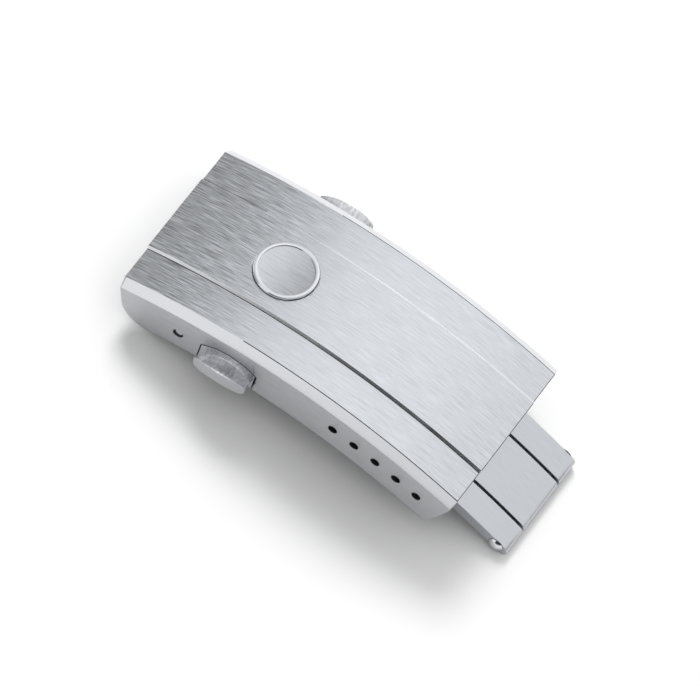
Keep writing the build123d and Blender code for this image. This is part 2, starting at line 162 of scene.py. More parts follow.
COVER_HINGE = Place(-13.1, 3.49)
BLADE_HINGE = Place(27.05, 5.40)
LATCH = Place(-7.1, 3.175)                # the latch's middle, at the guide pins' depth
GUIDE_PIN_SPREAD = 2.45                   # mm from the latch's middle to each guide pin


@dataclass(frozen=True)
class Arch:
    """The arch that every piece follows, and how its own frame lies in the row frame.

    In its own frame the arch's top is at the origin, X runs along it, Y across and Z up, in mm.
    """
    radius: float
    centre_x: float
    centre_z: float
    tilt: float

    @classmethod
    def from_hinges(cls, joints: Sequence[Mapping[str, Any]]) -> "Arch":
        """Places the arch by the two hinges, whose stations and depths are known.

        The turn is the one that carries the line between the hinges in the arch's frame onto
        the same line in the row frame, and the centre then follows from the first hinge.

        Args:
            joints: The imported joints.
        Returns:
            The arch.
        """
        radius = 71.0
        anchors = {joint["name"]: joint["pos_m"] for joint in joints if "pos_m" in joint}
        here = [complex(anchors[name][0], anchors[name][2]) / MM for name in ("cover_hinge", "blade_hinge")]
        own = []
        for place in (COVER_HINGE, BLADE_HINGE):
            turn, reach = place.station / radius, radius - place.depth
            own.append(complex(reach * math.sin(turn), reach * math.cos(turn)))
        turn = (here[1] - here[0]) / (own[1] - own[0])
        turn /= abs(turn)
        centre = here[0] - turn * own[0]
        return cls(radius, centre.real, centre.imag, -math.atan2(turn.imag, turn.real))

    def on(self, station: Any, across: Any, depth: Any) -> np.ndarray:
        """Points at stations, places across and depths, in the arch's frame.

        x = (radius - depth) sin(station / radius), z = (radius - depth) cos(station / radius) - radius.

        Args:
            station: Millimetres along the top plate.
            across: Millimetres across the bracelet.
            depth: Millimetres below the top plate.
        Returns:
            Points, three numbers in the last axis.
        """
        turn = np.asarray(station, float) / self.radius
        reach = self.radius - np.asarray(depth, float)
        return as_points(reach * np.sin(turn), across, reach * np.cos(turn) - self.radius)

    def seat(self, station: float, depth: float, across: float = 0.0) -> "Seat":
        """A place on the arch with its own level."""
        return Seat(self.on(station, across, depth), station / self.radius)

    def in_row(self, points: np.ndarray) -> np.ndarray:
        """Turns points of the arch's frame about its centre into the row frame.

        Args:
            points: Points in the arch's frame, in mm.
        Returns:
            The points in the row frame, in metres.
        """
        x, y, z = np.moveaxis(np.asarray(points, float), -1, 0)
        z = z + self.radius
        cosine, sine = math.cos(self.tilt), math.sin(self.tilt)
        return MM * as_points(self.centre_x + x * cosine + z * sine, y, self.centre_z - x * sine + z * cosine)


@dataclass(frozen=True)
class Seat:
    """A place on the arch whose own Z points square out of the top plate."""
    origin: np.ndarray
    turn: float

    def carry(self, points: np.ndarray) -> np.ndarray:
        """Turns local points to the seat's level and moves them to it.

        Args:
            points: Points in the seat's own axes.
        Returns:
            The points in the arch's frame.
        """
        x, y, z = np.moveaxis(np.asarray(points, float), -1, 0)
        cosine, sine = math.cos(self.turn), math.sin(self.turn)
        return self.origin + as_points(x * cosine + z * sine, y, z * cosine - x * sine)

    def side_view(self, outline: np.ndarray) -> np.ndarray:
        """Carries a side-view outline, as x and z, to the seat."""
        return self.carry(np.insert(outline, 1, 0.0, axis=-1))[:, [0, 2]]


ARCH = Arch.from_hinges(frame["joints"])


@dataclass
class Patch:
    """A surface over two parameters: a grid of points and of pattern places in millimetres."""
    points: np.ndarray
    pattern: np.ndarray
    finish: Any = 0

    def faces(self) -> np.ndarray:
        """Corner numbers of the grid's quads, each from its row and column.

        Returns:
            Four numbers for each quad.
        """
        rows, columns = self.points.shape[:2]
        corner = np.arange(rows * columns).reshape(rows, columns)
        quads = [corner[:-1, :-1], corner[1:, :-1], corner[1:, 1:], corner[:-1, 1:]]
        return as_points(*quads).reshape(-1, 4)

    def finish_numbers(self) -> np.ndarray:
        """The finish of each quad; a list gives one finish for each column of quads."""
        rows, columns = self.points.shape[:2]
        return np.broadcast_to(np.asarray(self.finish, int), (rows - 1, columns - 1)).ravel()


@dataclass
class Lid:
    """A flat closed outline, filled as one face."""
    points: np.ndarray
    pattern: np.ndarray
    finish: int = 0


@dataclass
class Shell:
    """Patches and lids that together close one solid."""
    patches: list[Patch] = field(default_factory=list)
    lids: list[Lid] = field(default_factory=list)

    def object(self, name: str, materials: Sequence[bpy.types.Material]) -> bpy.types.Object:
        """Makes the Blender object: all grids in one mesh, seams merged and faces turned outwards.

        Args:
            name: The piece's name.
            materials: Its materials, in the order of the finish numbers.
        Returns:
            The object, at the origin in the row frame.
        """
        corners, faces, pattern, finishes, start = [], [], [], [], 0
        for patch in self.patches:
            quads = patch.faces()
            corners.append(patch.points.reshape(-1, 3))
            faces += (quads + start).tolist()
            pattern.append(patch.pattern.reshape(-1, 2)[quads.ravel()])
            finishes.append(patch.finish_numbers())
            start += len(corners[-1])
        for lid in self.lids:
            corners.append(lid.points)
            faces.append(list(range(start, start + len(lid.points))))
            pattern.append(lid.pattern)
            finishes.append(np.array([lid.finish]))
            start += len(lid.points)
        mesh = bpy.data.meshes.new(name)
        mesh.from_pydata(ARCH.in_row(np.concatenate(corners)), [], faces)
        layer = mesh.uv_layers.new(name="surface_mm")
        layer.data.foreach_set("uv", np.concatenate(pattern).astype(np.float32).ravel())
        mesh.polygons.foreach_set("material_index", np.concatenate(finishes).astype(np.int32))
        for material in materials:
            mesh.materials.append(material)
        close_seams(mesh)
        thing = bpy.data.objects.new(name, mesh)
        bpy.context.scene.collection.objects.link(thing)
        return thing


def close_seams(mesh: bpy.types.Mesh) -> None:
    """Merges points that coincide, drops faces without area and turns the faces outwards.

    Args:
        mesh: The mesh, in metres.
    """
    work = bmesh.new()
    work.from_mesh(mesh)
    bmesh.ops.remove_doubles(work, verts=work.verts, dist=SEAM_REACH)
    bmesh.ops.dissolve_degenerate(work, edges=work.edges, dist=SLIVER)
    bmesh.ops.recalc_face_normals(work, faces=work.faces)
    work.to_mesh(mesh)
    work.free()
    mesh.shade_smooth()


def path_length(points: np.ndarray) -> np.ndarray:
    """Running length along a line of points: the sum of its steps, from zero."""
    steps = np.linalg.norm(np.diff(points, axis=0), axis=1)
    return np.concatenate([[0.0], np.cumsum(steps)])


def rounded_line(corners: Sequence[tuple[float, float]], radii: Sequence[float], steps: int) -> np.ndarray:
    """A line through corners, each turned by an arc that touches both of its runs.

    At a corner whose runs turn by an angle a, the arc of radius r starts r tan(a / 2) before it.

    Args:
        corners: The line's corners.
        radii: The radius at each corner, zero for a sharp one or an end.
        steps: Steps of each arc.
    Returns:
        Points of the line, two numbers each.
    """
    spots = np.asarray(corners, float)
    line = []
    for index, radius in enumerate(radii):
        if radius == 0:
            line.append(spots[index:index + 1])
            continue
        before, after = spots[index] - spots[index - 1], spots[(index + 1) % len(spots)] - spots[index]
        before, after = before / np.linalg.norm(before), after / np.linalg.norm(after)
        turn = math.atan2(before[0] * after[1] - before[1] * after[0], float(before @ after))
        inward = np.sign(turn) * np.array([-before[1], before[0]])
        begin = spots[index] - before * radius * math.tan(abs(turn) / 2)
        sweep = np.linspace(0, abs(turn), steps + 1)[:, None]
        line.append(begin + radius * (before * np.sin(sweep) + inward * (1 - np.cos(sweep))))
    return np.concatenate(line)


def side_arc(first: float, last: float, depth: float, steps: int) -> np.ndarray:
    """Side-view points, as x and z, that follow the arch at one depth between two stations."""
    return ARCH.on(np.linspace(first, last, steps + 1), 0.0, depth)[:, [0, 2]]


def strip(first: float, last: float, top: float, foot: float, steps: int) -> np.ndarray:
    """Side view of a strip between two stations and two depths."""
    return np.concatenate([side_arc(first, last, top, steps), side_arc(last, first, foot, steps)])


def three_point_arc(first: np.ndarray, middle: np.ndarray, last: np.ndarray, steps: int) -> np.ndarray:
    """Arc through three side-view points: the circle whose centre is as far from each of them.

    Args:
        first: Where the arc starts.
        middle: A point on the way.
        last: Where it ends.
        steps: Its steps.
    Returns:
        Points of the arc, as x and z.
    """
    rows = 2 * np.array([middle - first, last - first])
    centre = np.linalg.solve(rows, np.array([middle @ middle - first @ first, last @ last - first @ first]))
    radius = np.linalg.norm(first - centre)
    turns = np.unwrap([math.atan2(*(spot - centre)[::-1]) for spot in (first, middle, last)])
    sweep = np.linspace(turns[0], turns[2], steps + 1)
    return centre + radius * as_points(np.cos(sweep), np.sin(sweep))


def circle(radius: float, steps: int, centre: Sequence[float] = (0.0, 0.0)) -> np.ndarray:
    """Points of a full circle, without the repeated last one."""
    sweep = np.arange(steps) * 2 * math.pi / steps
    return np.asarray(centre, float) + radius * as_points(np.cos(sweep), np.sin(sweep))


def bar_profile(radius: float, low: float, high: float) -> np.ndarray:
    """Profile of a plain round bar, as radius and place along its axis, from axis to axis."""
    return np.array([(0.0, low), (radius, low), (radius, high), (0.0, high)])


def extruded(outline: np.ndarray, low: float, high: float, finish: int = 0, lids: int | None = None,
             axis: Axis = Axis.ACROSS) -> Shell:
    """A flat outline carried straight along an axis, closed by two flat lids.

    Args:
        outline: Closed outline in the plane square to the axis.
        low: Where it starts on the axis.
        high: Where it ends.
        finish: Finish number of the carried surface.
        lids: Finish number of the lids, or None for the same.
        axis: The axis.
    Returns:
        The closed shell.
    """
    closed = np.concatenate([outline, outline[:1]])
    ends = np.array([low, high])
    points = np.insert(np.repeat(closed[:, None], 2, axis=1), axis.value, ends, axis=-1)
    pattern = as_points(path_length(closed)[:, None], ends)
    lid_finish = finish if lids is None else lids
    return Shell([Patch(points, pattern, finish)],
                 [Lid(points[:-1, end], outline.copy(), lid_finish) for end in (0, 1)])


def turned(profile: np.ndarray, seat: Seat, steps: int, finish: Any = 0, axis: Axis = Axis.UPRIGHT) -> Shell:
    """A profile turned round an axis through a seat, as on a lathe.

    Point(a, t) is radius(t) cos a and radius(t) sin a square to the axis, and height(t) along it.

    Args:
        profile: Radius and place along the axis, from axis to axis.
        seat: Where the axis stands.
        steps: Steps round.
        finish: Finish number, or one for each step of the profile.
        axis: The seat's axis that the profile is turned round.
    Returns:
        The closed shell.
    """
    sweep = np.linspace(0, 2 * math.pi, steps + 1)[:, None]
    radius, height = profile.T
    flat = as_points(radius * np.cos(sweep), radius * np.sin(sweep))
    pattern = as_points(radius * sweep, path_length(profile))
    return Shell([Patch(seat.carry(np.insert(flat, axis.value, height, axis=-1)), pattern, finish)])


def cross_rod(place: Place, radius: float, low: float, high: float, steps: int = 48, finish: int = 0) -> Shell:
    """A round rod across the bracelet, also used as the tool that cuts a bore."""
    outline = ARCH.seat(place.station, place.depth).side_view(circle(radius, steps))
    return extruded(outline, low, high, finish)


def work_on(piece: bpy.types.Object, joining: Joining, tools: Sequence[Shell]) -> None:
    """Cuts or joins other shells with a piece and keeps the result as its mesh.

    Args:
        piece: The piece.
        joining: What the shells do to it.
        tools: The shells, in the order of their work.
    """
    things = []
    for number, shell in enumerate(tools):
        things.append(shell.object(f"{piece.name}_tool", [slot.material for slot in piece.material_slots]))
        modifier = piece.modifiers.new(f"{joining.name.lower()}_{number}", "BOOLEAN")
        modifier.operation = joining.value
        modifier.solver = "EXACT"
        modifier.object = things[-1]
    settle(piece)
    for thing in things:
        bpy.data.objects.remove(thing)


def settle(piece: bpy.types.Object) -> None:
    """Turns a piece's modifiers into its mesh.

    Args:
        piece: The piece.
    """
    bpy.context.view_layer.update()
    graph = bpy.context.evaluated_depsgraph_get()
    mesh = bpy.data.meshes.new_from_object(
        piece.evaluated_get(graph), preserve_all_data_layers=True, depsgraph=graph)
    old = piece.data
    piece.modifiers.clear()
    piece.data = mesh
    bpy.data.meshes.remove(old)
    mesh.name = piece.name


def break_edges(piece: bpy.types.Object, width: float) -> None:
    """Takes the sharpness off every edge over 30 degrees, as a polisher does, and evens the shading.

    Args:
        piece: The piece, its shape final.
        width: Width of the broken edge in millimetres.
    """
    bevel = piece.modifiers.new("broken_edges", "BEVEL")
    bevel.width = width * MM
    bevel.segments = 2
    bevel.limit_method = "ANGLE"
    bevel.angle_limit = math.radians(30)
    bevel.use_clamp_overlap = False
    bevel.miter_outer = "MITER_ARC"
    evening = piece.modifiers.new("even_shading", "WEIGHTED_NORMAL")
    evening.weight = 100
    evening.keep_sharp = True
    settle(piece)


def deliver(piece: bpy.types.Object, rider: Rider, node: str) -> bpy.types.Object:
    """Sets a finished piece on its body in place of its CAD node and reports it.

    Args:
        piece: The piece.
        rider: The body that it moves with.
        node: The CAD node that it stands for.
    Returns:
        The piece.
    """
    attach(piece, rider.value)
    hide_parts(node)
    faces = len(piece.data.polygons)
    LOG.info("%s: %d faces, rides on %s, stands for %s", piece.name, faces, rider.value, node)
    return piece


def linear(code: str) -> tuple[float, float, float, float]:
    """The linear colour of an sRGB hex value.

    Args:
        code: The value, such as "#c8ccd0".
    Returns:
        Red, green, blue and a full alpha.
    """
    parts = [int(code[place:place + 2], 16) / 255 for place in (1, 3, 5)]
    red, green, blue = [part / 12.92 if part <= 0.04045 else ((part + 0.055) / 1.055) ** 2.4 for part in parts]
    return red, green, blue, 1.0


def add_node(
    tree: bpy.types.NodeTree,
    kind: str,
    settings: Mapping[str, Any] | None = None,
    values: Mapping[Any, Any] | None = None,
    links: Mapping[Any, bpy.types.NodeSocket] | None = None,
) -> bpy.types.Node:
    """Adds one node with its settings, socket values and incoming links.

    Args:
        tree: The node tree.
        kind: The node's type name.
        settings: The node's own settings.
        values: Constant values by socket name or number.
        links: Sources by socket name or number.
    Returns:
        The node.
    """
    node = tree.nodes.new(kind)
    for name, value in (settings or {}).items():
        setattr(node, name, value)
    for socket, value in (values or {}).items():
        node.inputs[socket].default_value = value
    for socket, source in (links or {}).items():
        tree.links.new(source, node.inputs[socket])
    return node


@dataclass(frozen=True)
class Steel:
    """What the steel finishes share: a colour, and a roughness that wear changes from place to place."""
    name: str
    colour: str
    roughness: float
    wear_span: tuple[float, float] = (0.3, 0.7)            # values of the wear's noise that are its two ends
    wear_roughness: tuple[float, float] = (-0.03, 0.05)    # what its two ends add to the roughness

    def blank(self) -> bpy.types.Material:
        """Makes the material, still without nodes.

        Returns:
            The material.
        """
        material = bpy.data.materials.new(self.name)
        material.use_nodes = True
        material.node_tree.nodes.clear()
        return material

    def surface(
        self,
        tree: bpy.types.NodeTree,
        relief: float,
        patterns: Mapping[str, bpy.types.NodeSocket],
        shades: Sequence[Sequence[float]],
        values: Mapping[str, float] | None = None,
    ) -> bpy.types.Node:
        """Adds what every finish ends in: bump, roughness, tint, shader and output.

        Args:
            tree: The material's nodes.
            relief: Height of the grain in millimetres.
            patterns: The grain that lifts the surface, the wear that dulls it and the tone that tints it.
            shades: Red, green and blue factors of the colour at the tone's lower and upper end.
            values: More constant values of the shader.
        Returns:
            The shader.
        """
        bump = add_node(tree, "ShaderNodeBump", values={"Strength": 1.0, "Distance": relief * MM},
                        links={"Height": patterns["grain"]})
        dullness = add_node(tree, "ShaderNodeMapRange", values={
            "From Min": self.wear_span[0], "From Max": self.wear_span[1],
            "To Min": self.roughness + self.wear_roughness[0],
            "To Max": self.roughness + self.wear_roughness[1]}, links={"Value": patterns["wear"]})
        dark, light = (tuple(np.array(linear(self.colour)) * (*shade, 1.0)) for shade in shades)
        tint = add_node(tree, "ShaderNodeMix", {"data_type": "RGBA"}, {COLOUR_A: dark, COLOUR_B: light},
                        {0: patterns["tone"]})
        shader = add_node(tree, "ShaderNodeBsdfPrincipled", values={"Metallic": 1.0, **(values or {})}, links={
            "Base Color": tint.outputs[COLOUR_OUT], "Roughness": dullness.outputs[0],
            "Normal": bump.outputs[0]})
        add_node(tree, "ShaderNodeOutputMaterial", links={"Surface": shader.outputs[0]})
        return shader


@dataclass(frozen=True)
class BrushedSteel(Steel):
    """316L stainless steel brushed along the bracelet with an abrasive belt.

    The belt leaves short grooves along the pattern's first direction: they spread each
    reflection across the grooves, so the plate shows soft bands and fine dull and bright lines.
    """
    colour: str = "#c7cace"
    roughness: float = 0.34
    wear_span: tuple[float, float] = (0.35, 1.05)
    wear_roughness: tuple[float, float] = (-0.07, 0.09)
    groove_spacing: float = 0.11   # mm; the real 0.03 mm is too fine to show
    groove_length: float = 2.6     # mm
    groove_depth: float = 0.002    # mm
    band_spacing: float = 0.6      # mm, groups of deeper strokes
    band_stretch: float = 0.45     # how far a group is shorter than its strokes are frequent
    band_share: float = 0.4        # how much the groups count beside single grooves
    stroke_span: tuple[float, float] = (0.3, 0.7)     # values of the grooves' noise that are the tone's ends
    contrast: float = 0.50         # how far single strokes are lighter or darker at the left end
    calm: float = 0.30             # what is left of the contrast over the rest, where the belt ran lightly
    calm_span: tuple[float, float] = (-14.0, -5.0)    # stations between which the contrast falls
    anisotropy: float = 0.5

    def material(self) -> bpy.types.Material:
        """Makes the material: two stretched noises for single grooves and groups of strokes.

        Returns:
            The material.
        """
        material = self.blank()
        tree = material.node_tree
        place = add_node(tree, "ShaderNodeTexCoord").outputs["UV"]
        along = add_node(tree, "ShaderNodeSeparateXYZ", links={0: place}).outputs[0]
        noises = []
        for length, spacing, start, detail, roughness in (
                (1 / self.groove_length, self.groove_spacing, (0.0, 0.0, 0.0), 4.0, 0.65),
                (self.band_stretch / self.groove_length, self.band_spacing, (3.1, 7.7, 0.0), 3.0, 0.55)):
            stretch = add_node(tree, "ShaderNodeMapping", values={
                "Location": start, "Scale": (length, 1 / spacing, 1.0)}, links={"Vector": place})
            noise = add_node(tree, "ShaderNodeTexNoise", {"noise_dimensions": "2D"}, {
                "Scale": 1.0, "Detail": detail, "Roughness": roughness}, {"Vector": stretch.outputs[0]})
            noises.append(noise.outputs[0])
        grooves, groups = noises
        both = add_node(tree, "ShaderNodeMath", {"operation": "MULTIPLY_ADD"}, {1: self.band_share},
                        {0: groups, 2: grooves}).outputs[0]
        weight = add_node(tree, "ShaderNodeMapRange", values={
            "From Min": self.calm_span[0], "From Max": self.calm_span[1], "To Min": 1.0, "To Max": self.calm},
            links={"Value": along})
        strength = add_node(tree, "ShaderNodeMapRange", values={
            "From Min": self.stroke_span[0], "From Max": self.stroke_span[1]}, links={"Value": grooves})
        tone = add_node(tree, "ShaderNodeMix", {"data_type": "FLOAT"}, {FLOAT_A: 0.5}, {
            0: weight.outputs[0], FLOAT_B: strength.outputs[0]}).outputs[0]
        # A quarter turn stretches the reflections across the grooves.
        shader = self.surface(
            tree, self.groove_depth, {"grain": both, "wear": both, "tone": tone},
            [[1 - self.contrast] * 3, [1 + self.contrast] * 3],
            {"Anisotropic": self.anisotropy, "Anisotropic Rotation": 0.25})
        tangent = add_node(tree, "ShaderNodeTangent", {"direction_type": "UV_MAP", "uv_map": "surface_mm"})
        tree.links.new(tangent.outputs[0], shader.inputs["Tangent"])
        return material


@dataclass(frozen=True)
class GrainedSteel(Steel):
    """Steel with a fine grain without direction, under slow clouds of haze or tarnish."""
    grain_spacing: float = 0.16    # mm
    grain_depth: float = 0.00006   # mm
    grain_detail: float = 3.0
    cloud_spacing: float = 2.5     # mm
    shades: tuple[tuple[float, float, float], ...] = ((0.97, 0.972, 0.975), (1.02, 1.02, 1.02))

    def material(self) -> bpy.types.Material:
        """Makes the material: one noise in object space for the grain and a slower one for the clouds.

        Returns:
            The material.
        """
        material = self.blank()
        tree = material.node_tree
        place = add_node(tree, "ShaderNodeTexCoord").outputs["Object"]
        kinds = ((self.grain_spacing, self.grain_detail, 0.6), (self.cloud_spacing, 2.0, 0.5))
        grain, clouds = (
            add_node(tree, "ShaderNodeTexNoise", links={"Vector": place}, values={
                "Scale": 1 / (spacing * MM), "Detail": detail, "Roughness": roughness}).outputs[0]
            for spacing, detail, roughness in kinds)
        self.surface(tree, self.grain_depth, {"grain": grain, "wear": clouds, "tone": clouds}, self.shades)
        return material


@dataclass(frozen=True)
class PolishedSteel(GrainedSteel):
    """316L stainless steel polished on a wheel.

    It mirrors the studio a little softly, with a haze of very fine wheel marks.
    """
    colour: str = "#dddfe2"
    roughness: float = 0.12


@dataclass(frozen=True)
class TumbledSteel(GrainedSteel):
    """Plain steel, tumbled with stones after machining.

    Tumbling leaves an even, dull, finely pitted skin without any direction.
    """
    colour: str = "#b9bcc0"
    roughness: float = 0.40
    wear_roughness: tuple[float, float] = (-0.06, 0.07)
    grain_spacing: float = 0.09
    grain_depth: float = 0.0022
    grain_detail: float = 4.0
    cloud_spacing: float = 1.8
    shades: tuple[tuple[float, float, float], ...] = ((0.9, 0.9, 0.91), (1.05, 1.05, 1.05))


class FinishSet:
    """The clasp's finishes, each made once."""

    def __init__(self) -> None:
        """Makes every material."""
        self.plate = BrushedSteel("brushed_316L_plate").material()
        # A finer belt leaves the walls and blades evenly grey, with hardly a line.
        self.wall = BrushedSteel(
            "satin_316L_wall", "#c0c2c5", 0.50, groove_depth=0.0015, contrast=0.10, calm=0.8,
            anisotropy=0.2).material()
        self.blade = BrushedSteel(
            "brushed_316L_blade", "#c2c5c9", 0.32, groove_depth=0.0015, contrast=0.06, calm=0.8,
            anisotropy=0.4).material()
        # Short coarse strokes from a hand file glitter on the thumb pads. The pads' crowns also take a paler
        # colour than the rest of the steel: painted light, for the brightness they catch from above.
        self.pad = BrushedSteel(
            "brushed_316L_pad_painted_light", "#e6e7ea", 0.46, groove_spacing=0.25, groove_length=0.7, groove_depth=0.006,
            contrast=0.25, calm=1.0, anisotropy=0.2).material()
        self.mirror = PolishedSteel("polished_316L").material()
        # Burnishing smooths the band's narrow step, so it shines in a soft line.
        self.step = PolishedSteel("burnished_316L_step", roughness=0.26).material()
        self.inside = TumbledSteel("tumbled_316L_inside").material()
        # Painted shade: a dark finish on the gaps, bores and notch faces, the pin's rim and shaft, and thin
        # lines along the plate's edges, standing for the shade and dark reflections there.
        self.joint = TumbledSteel("painted_shade_316L_joint_faces", "#48494b", 0.5).material()
        # Hardening turns the latch's parts a little darker.
        self.latch = TumbledSteel("tumbled_hardened_steel_latch", "#a9acb1").material()
        # Drawing leaves the wire smooth and faintly warm.
        self.spring = PolishedSteel("drawn_spring_wire", "#b4b3b0", 0.22).material()

    def of(self, numbers: type[IntEnum]) -> list[bpy.types.Material]:
        """The materials that a piece's finish numbers name, in their order."""
        return [getattr(self, number.name.lower()) for number in numbers]


@dataclass
class CoverShell:
    """The arched cover: brushed plate with a raised band, polished bevels, satin walls, open below."""
    half_length: float = 20.0
    half_width: float = 10.0
    top_thickness: float = 1.15
    wall_thickness: float = 0.95
    wall_height: float = 5.6
    bevel_width: float = 0.95
    bevel_drop: float = 0.72
    band_half_width: float = 5.05
    band_slope: float = 0.22
    band_rise: float = 0.30
    edge_radii: Sequence[float] = (0, 0.08, 0.15, 0.10, 0.05, 0)   # wall, bevel, band's foot and crest
    broken_edge: float = 0.05
    left_corner_radius: float = 2.7
    right_undercut: float = 0.85
    right_bow: float = 0.18
    hole_count: int = 5
    hole_radius: float = 0.5
    hole_pitch: float = 2.6
    hole_depth: float = 3.03
    first_hole: float = 5.9
    notch_left: float = -10.35
    notch_right: float = -3.55
    notch_side_depth: float = 3.15
    notch_crown_depth: float = 2.24
    pin_bore: float = 0.53
    seat_radius: float = 3.33
    seat_recess: float = 0.25
    seat_top: float = 1.5          # height of the tool that cuts the badge's seat
    columns: int = 140
    wall_rows: int = 16
    band_rows: int = 14
    seat_steps: int = 96
    wall_reach: float = 0.02       # steps of the section this near the wall's face belong to it
    slope_from: float = 0.3        # fall against run from which a step of the section is a slope
    line_reach: float = 0.045      # half the width of the thin lines along the plate's edges
    foot_shift: float = 0.01       # from the band's corner out to the middle of its foot's arc
    shade_line_start: int = 48           # column where the painted shade line between plate and bevel begins
    glint_start: int = 26          # column where the far step's foot turns from painted shade to polished steel
    end_shade_line: float = 0.08         # width of the painted shade line along the plate's right end

    @property
    def plate_edge(self) -> float:
        """Distance from the middle to the bevel's upper edge."""
        return self.half_width - self.bevel_width

    @property
    def band_crest(self) -> float:
        """Distance from the middle to the band's upper edge."""
        return self.band_half_width - self.band_slope

    def section(self) -> tuple[np.ndarray, np.ndarray, np.ndarray]:
        """The outer and inner lines of the cross-section, from near foot to far foot.

        The outer line's corners are arcs; the inner line has a matching point for each outer one.

        Returns:
            Outer points and inner points, as across and depth, and the finish of each outer step.
        """
        arc_start = self.wall_height - self.left_corner_radius
        rounding = arc_start + self.left_corner_radius * np.sin(np.linspace(math.pi / 2, 0, self.wall_rows + 1))
        upper = rounded_line(
            [(self.half_width, arc_start), (self.half_width, self.bevel_drop), (self.plate_edge, 0.0),
             (self.band_half_width, 0.0), (self.band_crest, -self.band_rise), (0.0, -self.band_rise)],
            self.edge_radii, steps=4)
        band = np.linspace(upper[-2], upper[-1], self.band_rows + 1)
        half = np.concatenate([as_points(self.half_width, rounding[:-1]), upper[:-2], band])
        run, fall = np.abs(np.diff(half, axis=0)).T
        across = (half[:-1, 0] + half[1:, 0]) / 2
        upright = across > self.half_width - self.wall_reach
        steep = fall > self.slope_from * run
        beside_band = across < (self.band_half_width + self.plate_edge) / 2
        finish = np.select([upright, steep & beside_band, steep],
                           [CoverFinish.WALL, CoverFinish.STEP, CoverFinish.MIRROR], CoverFinish.PLATE)
        inner_width = self.half_width - self.wall_thickness
        corner = self.wall_rows
        inner = np.empty_like(half)
        inner[:corner + 1, 0] = inner_width
        inner[:corner + 1, 1] = half[:corner + 1, 1]
        length = path_length(half[corner:])
        share = length / length[-1]
        rise = arc_start - self.top_thickness
        bend = rise / (rise + inner_width)
        up = np.clip(share / bend, 0, 1)
        over = np.clip((share - bend) / (1 - bend), 0, 1)
        inner[corner:] = as_points(inner_width * (1 - over), arc_start - rise * up)
        inner[corner + int(np.argmin(np.abs(share - bend)))] = (inner_width, self.top_thickness)
        outer_line, inner_line = (np.concatenate([line * [-1.0, 1.0], line[-2::-1]]) for line in (half, inner))
        return outer_line, inner_line, np.concatenate([finish, finish[::-1]])

    def ends_at(self, depth: np.ndarray) -> tuple[np.ndarray, np.ndarray]:
        """Stations of the left and right end at each depth.

        Left: a quarter circle at the foot. Right: a shallow curve that leans in towards the foot.

        Args:
            depth: The depths.
        Returns:
            The left stations and the right ones.
        """
        radius = self.left_corner_radius
        below = np.clip(depth - (self.wall_height - radius), 0, radius)
        inset = radius - np.sqrt(np.clip(radius ** 2 - below ** 2, 0, None))
        left = -self.half_length + inset * ARCH.radius / (ARCH.radius - depth)
        low = np.clip(depth, 0, None)
        half_way = (self.wall_height + self.bevel_drop) / 2
        rows = np.array([[half_way, half_way ** 2], [self.wall_height, self.wall_height ** 2]])
        lean, curve = np.linalg.solve(rows, [self.right_bow, self.right_undercut])
        return left, self.half_length - lean * low - curve * low ** 2

    def skin(self, line: np.ndarray, finish: Any) -> Patch:
        """Carries a cross-section line along the arch between the two ends.

        Station(u, t) runs from the left to the right end of the line's depth at t.

        Args:
            line: Cross-section points, as across and depth.
            finish: Finish number, or one for each step of the line.
        Returns:
            The surface.
        """
        left, right = self.ends_at(line[:, 1])
        # The last column is the narrow painted shade line along the right end.
        before_line = 1 - self.end_shade_line / (2 * self.half_length)
        share = np.append(np.linspace(0, before_line, self.columns), 1.0)[:, None]
        station = left + (right - left) * share
        return Patch(ARCH.on(station, line[:, 0], line[:, 1]), as_points(station, path_length(line)), finish)

    def draw_lines(self, finish: np.ndarray, across: np.ndarray) -> None:
        """Gives the thin lines along the plate's edges their finish.

        Dark lines of painted shade, standing for shade and dark reflections along the edges, go on both bevels'
        upper edges from the line's start column on, the near step's foot, the far one's up to glint_start, and
        the plate's right end. The far step's crest and the rest of its foot take the polished finish.

        Args:
            finish: Finish of each quad, by column along the arch and step of the section.
            across: Place across of each step's middle.
        """
        def beside(place: float) -> np.ndarray:
            """The steps of the section that a line at a place across takes up."""
            return np.abs(across - place) < self.line_reach

        foot = self.band_half_width + self.foot_shift
        # Painted shade: dark lines along the bevels' edges, the step's foot and the right end.
        finish[self.shade_line_start:, beside(self.plate_edge) | beside(-self.plate_edge)] = CoverFinish.JOINT
        finish[:, beside(-foot)] = CoverFinish.JOINT
        finish[:, beside(self.band_crest) | beside(foot)] = CoverFinish.MIRROR
        finish[:self.glint_start, beside(foot)] = CoverFinish.JOINT
        finish[-1, finish[-1] == CoverFinish.PLATE] = CoverFinish.JOINT

    def notch_outline(self, foot: float, left_gap: float = 0.0, crown_gap: float = 0.0,
                      right_gap: float = 0.0) -> np.ndarray:
        """Side view of a button notch, or of a block that stands in it with gaps at its sides and crown.

        The crown is the arc through the notch's two upper corners and the middle of its crown, each
        lowered by the crown gap; the sides are upright; the foot follows the arch.

        Args:
            foot: Depth of the foot.
            left_gap: Gap at the left side.
            crown_gap: Gap under the crown.
            right_gap: Gap at the right side.
        Returns:
            Closed side-view outline.
        """
        crown_steps, foot_points, clear = 40, 24, 0.02
        stations = np.array([self.notch_left, (self.notch_left + self.notch_right) / 2, self.notch_right])
        depths = np.array([self.notch_side_depth, self.notch_crown_depth, self.notch_side_depth])
        crown = three_point_arc(*ARCH.on(stations, 0.0, depths + crown_gap)[:, [0, 2]], crown_steps)
        sides = ARCH.on(stations[[0, 2]], 0.0, self.notch_side_depth)[:, 0] + [left_gap, -right_gap]
        left, right = sides
        inside = crown[(crown[:, 0] > left + clear) & (crown[:, 0] < right - clear)]
        tops = as_points(sides, np.interp(sides, crown[:, 0], crown[:, 1]))
        reach = ARCH.radius - foot
        along = np.linspace(right, left, foot_points)
        bottom = as_points(along, np.sqrt(reach ** 2 - along ** 2) - ARCH.radius)
        return np.concatenate([tops[:1], inside, tops[1:], bottom])

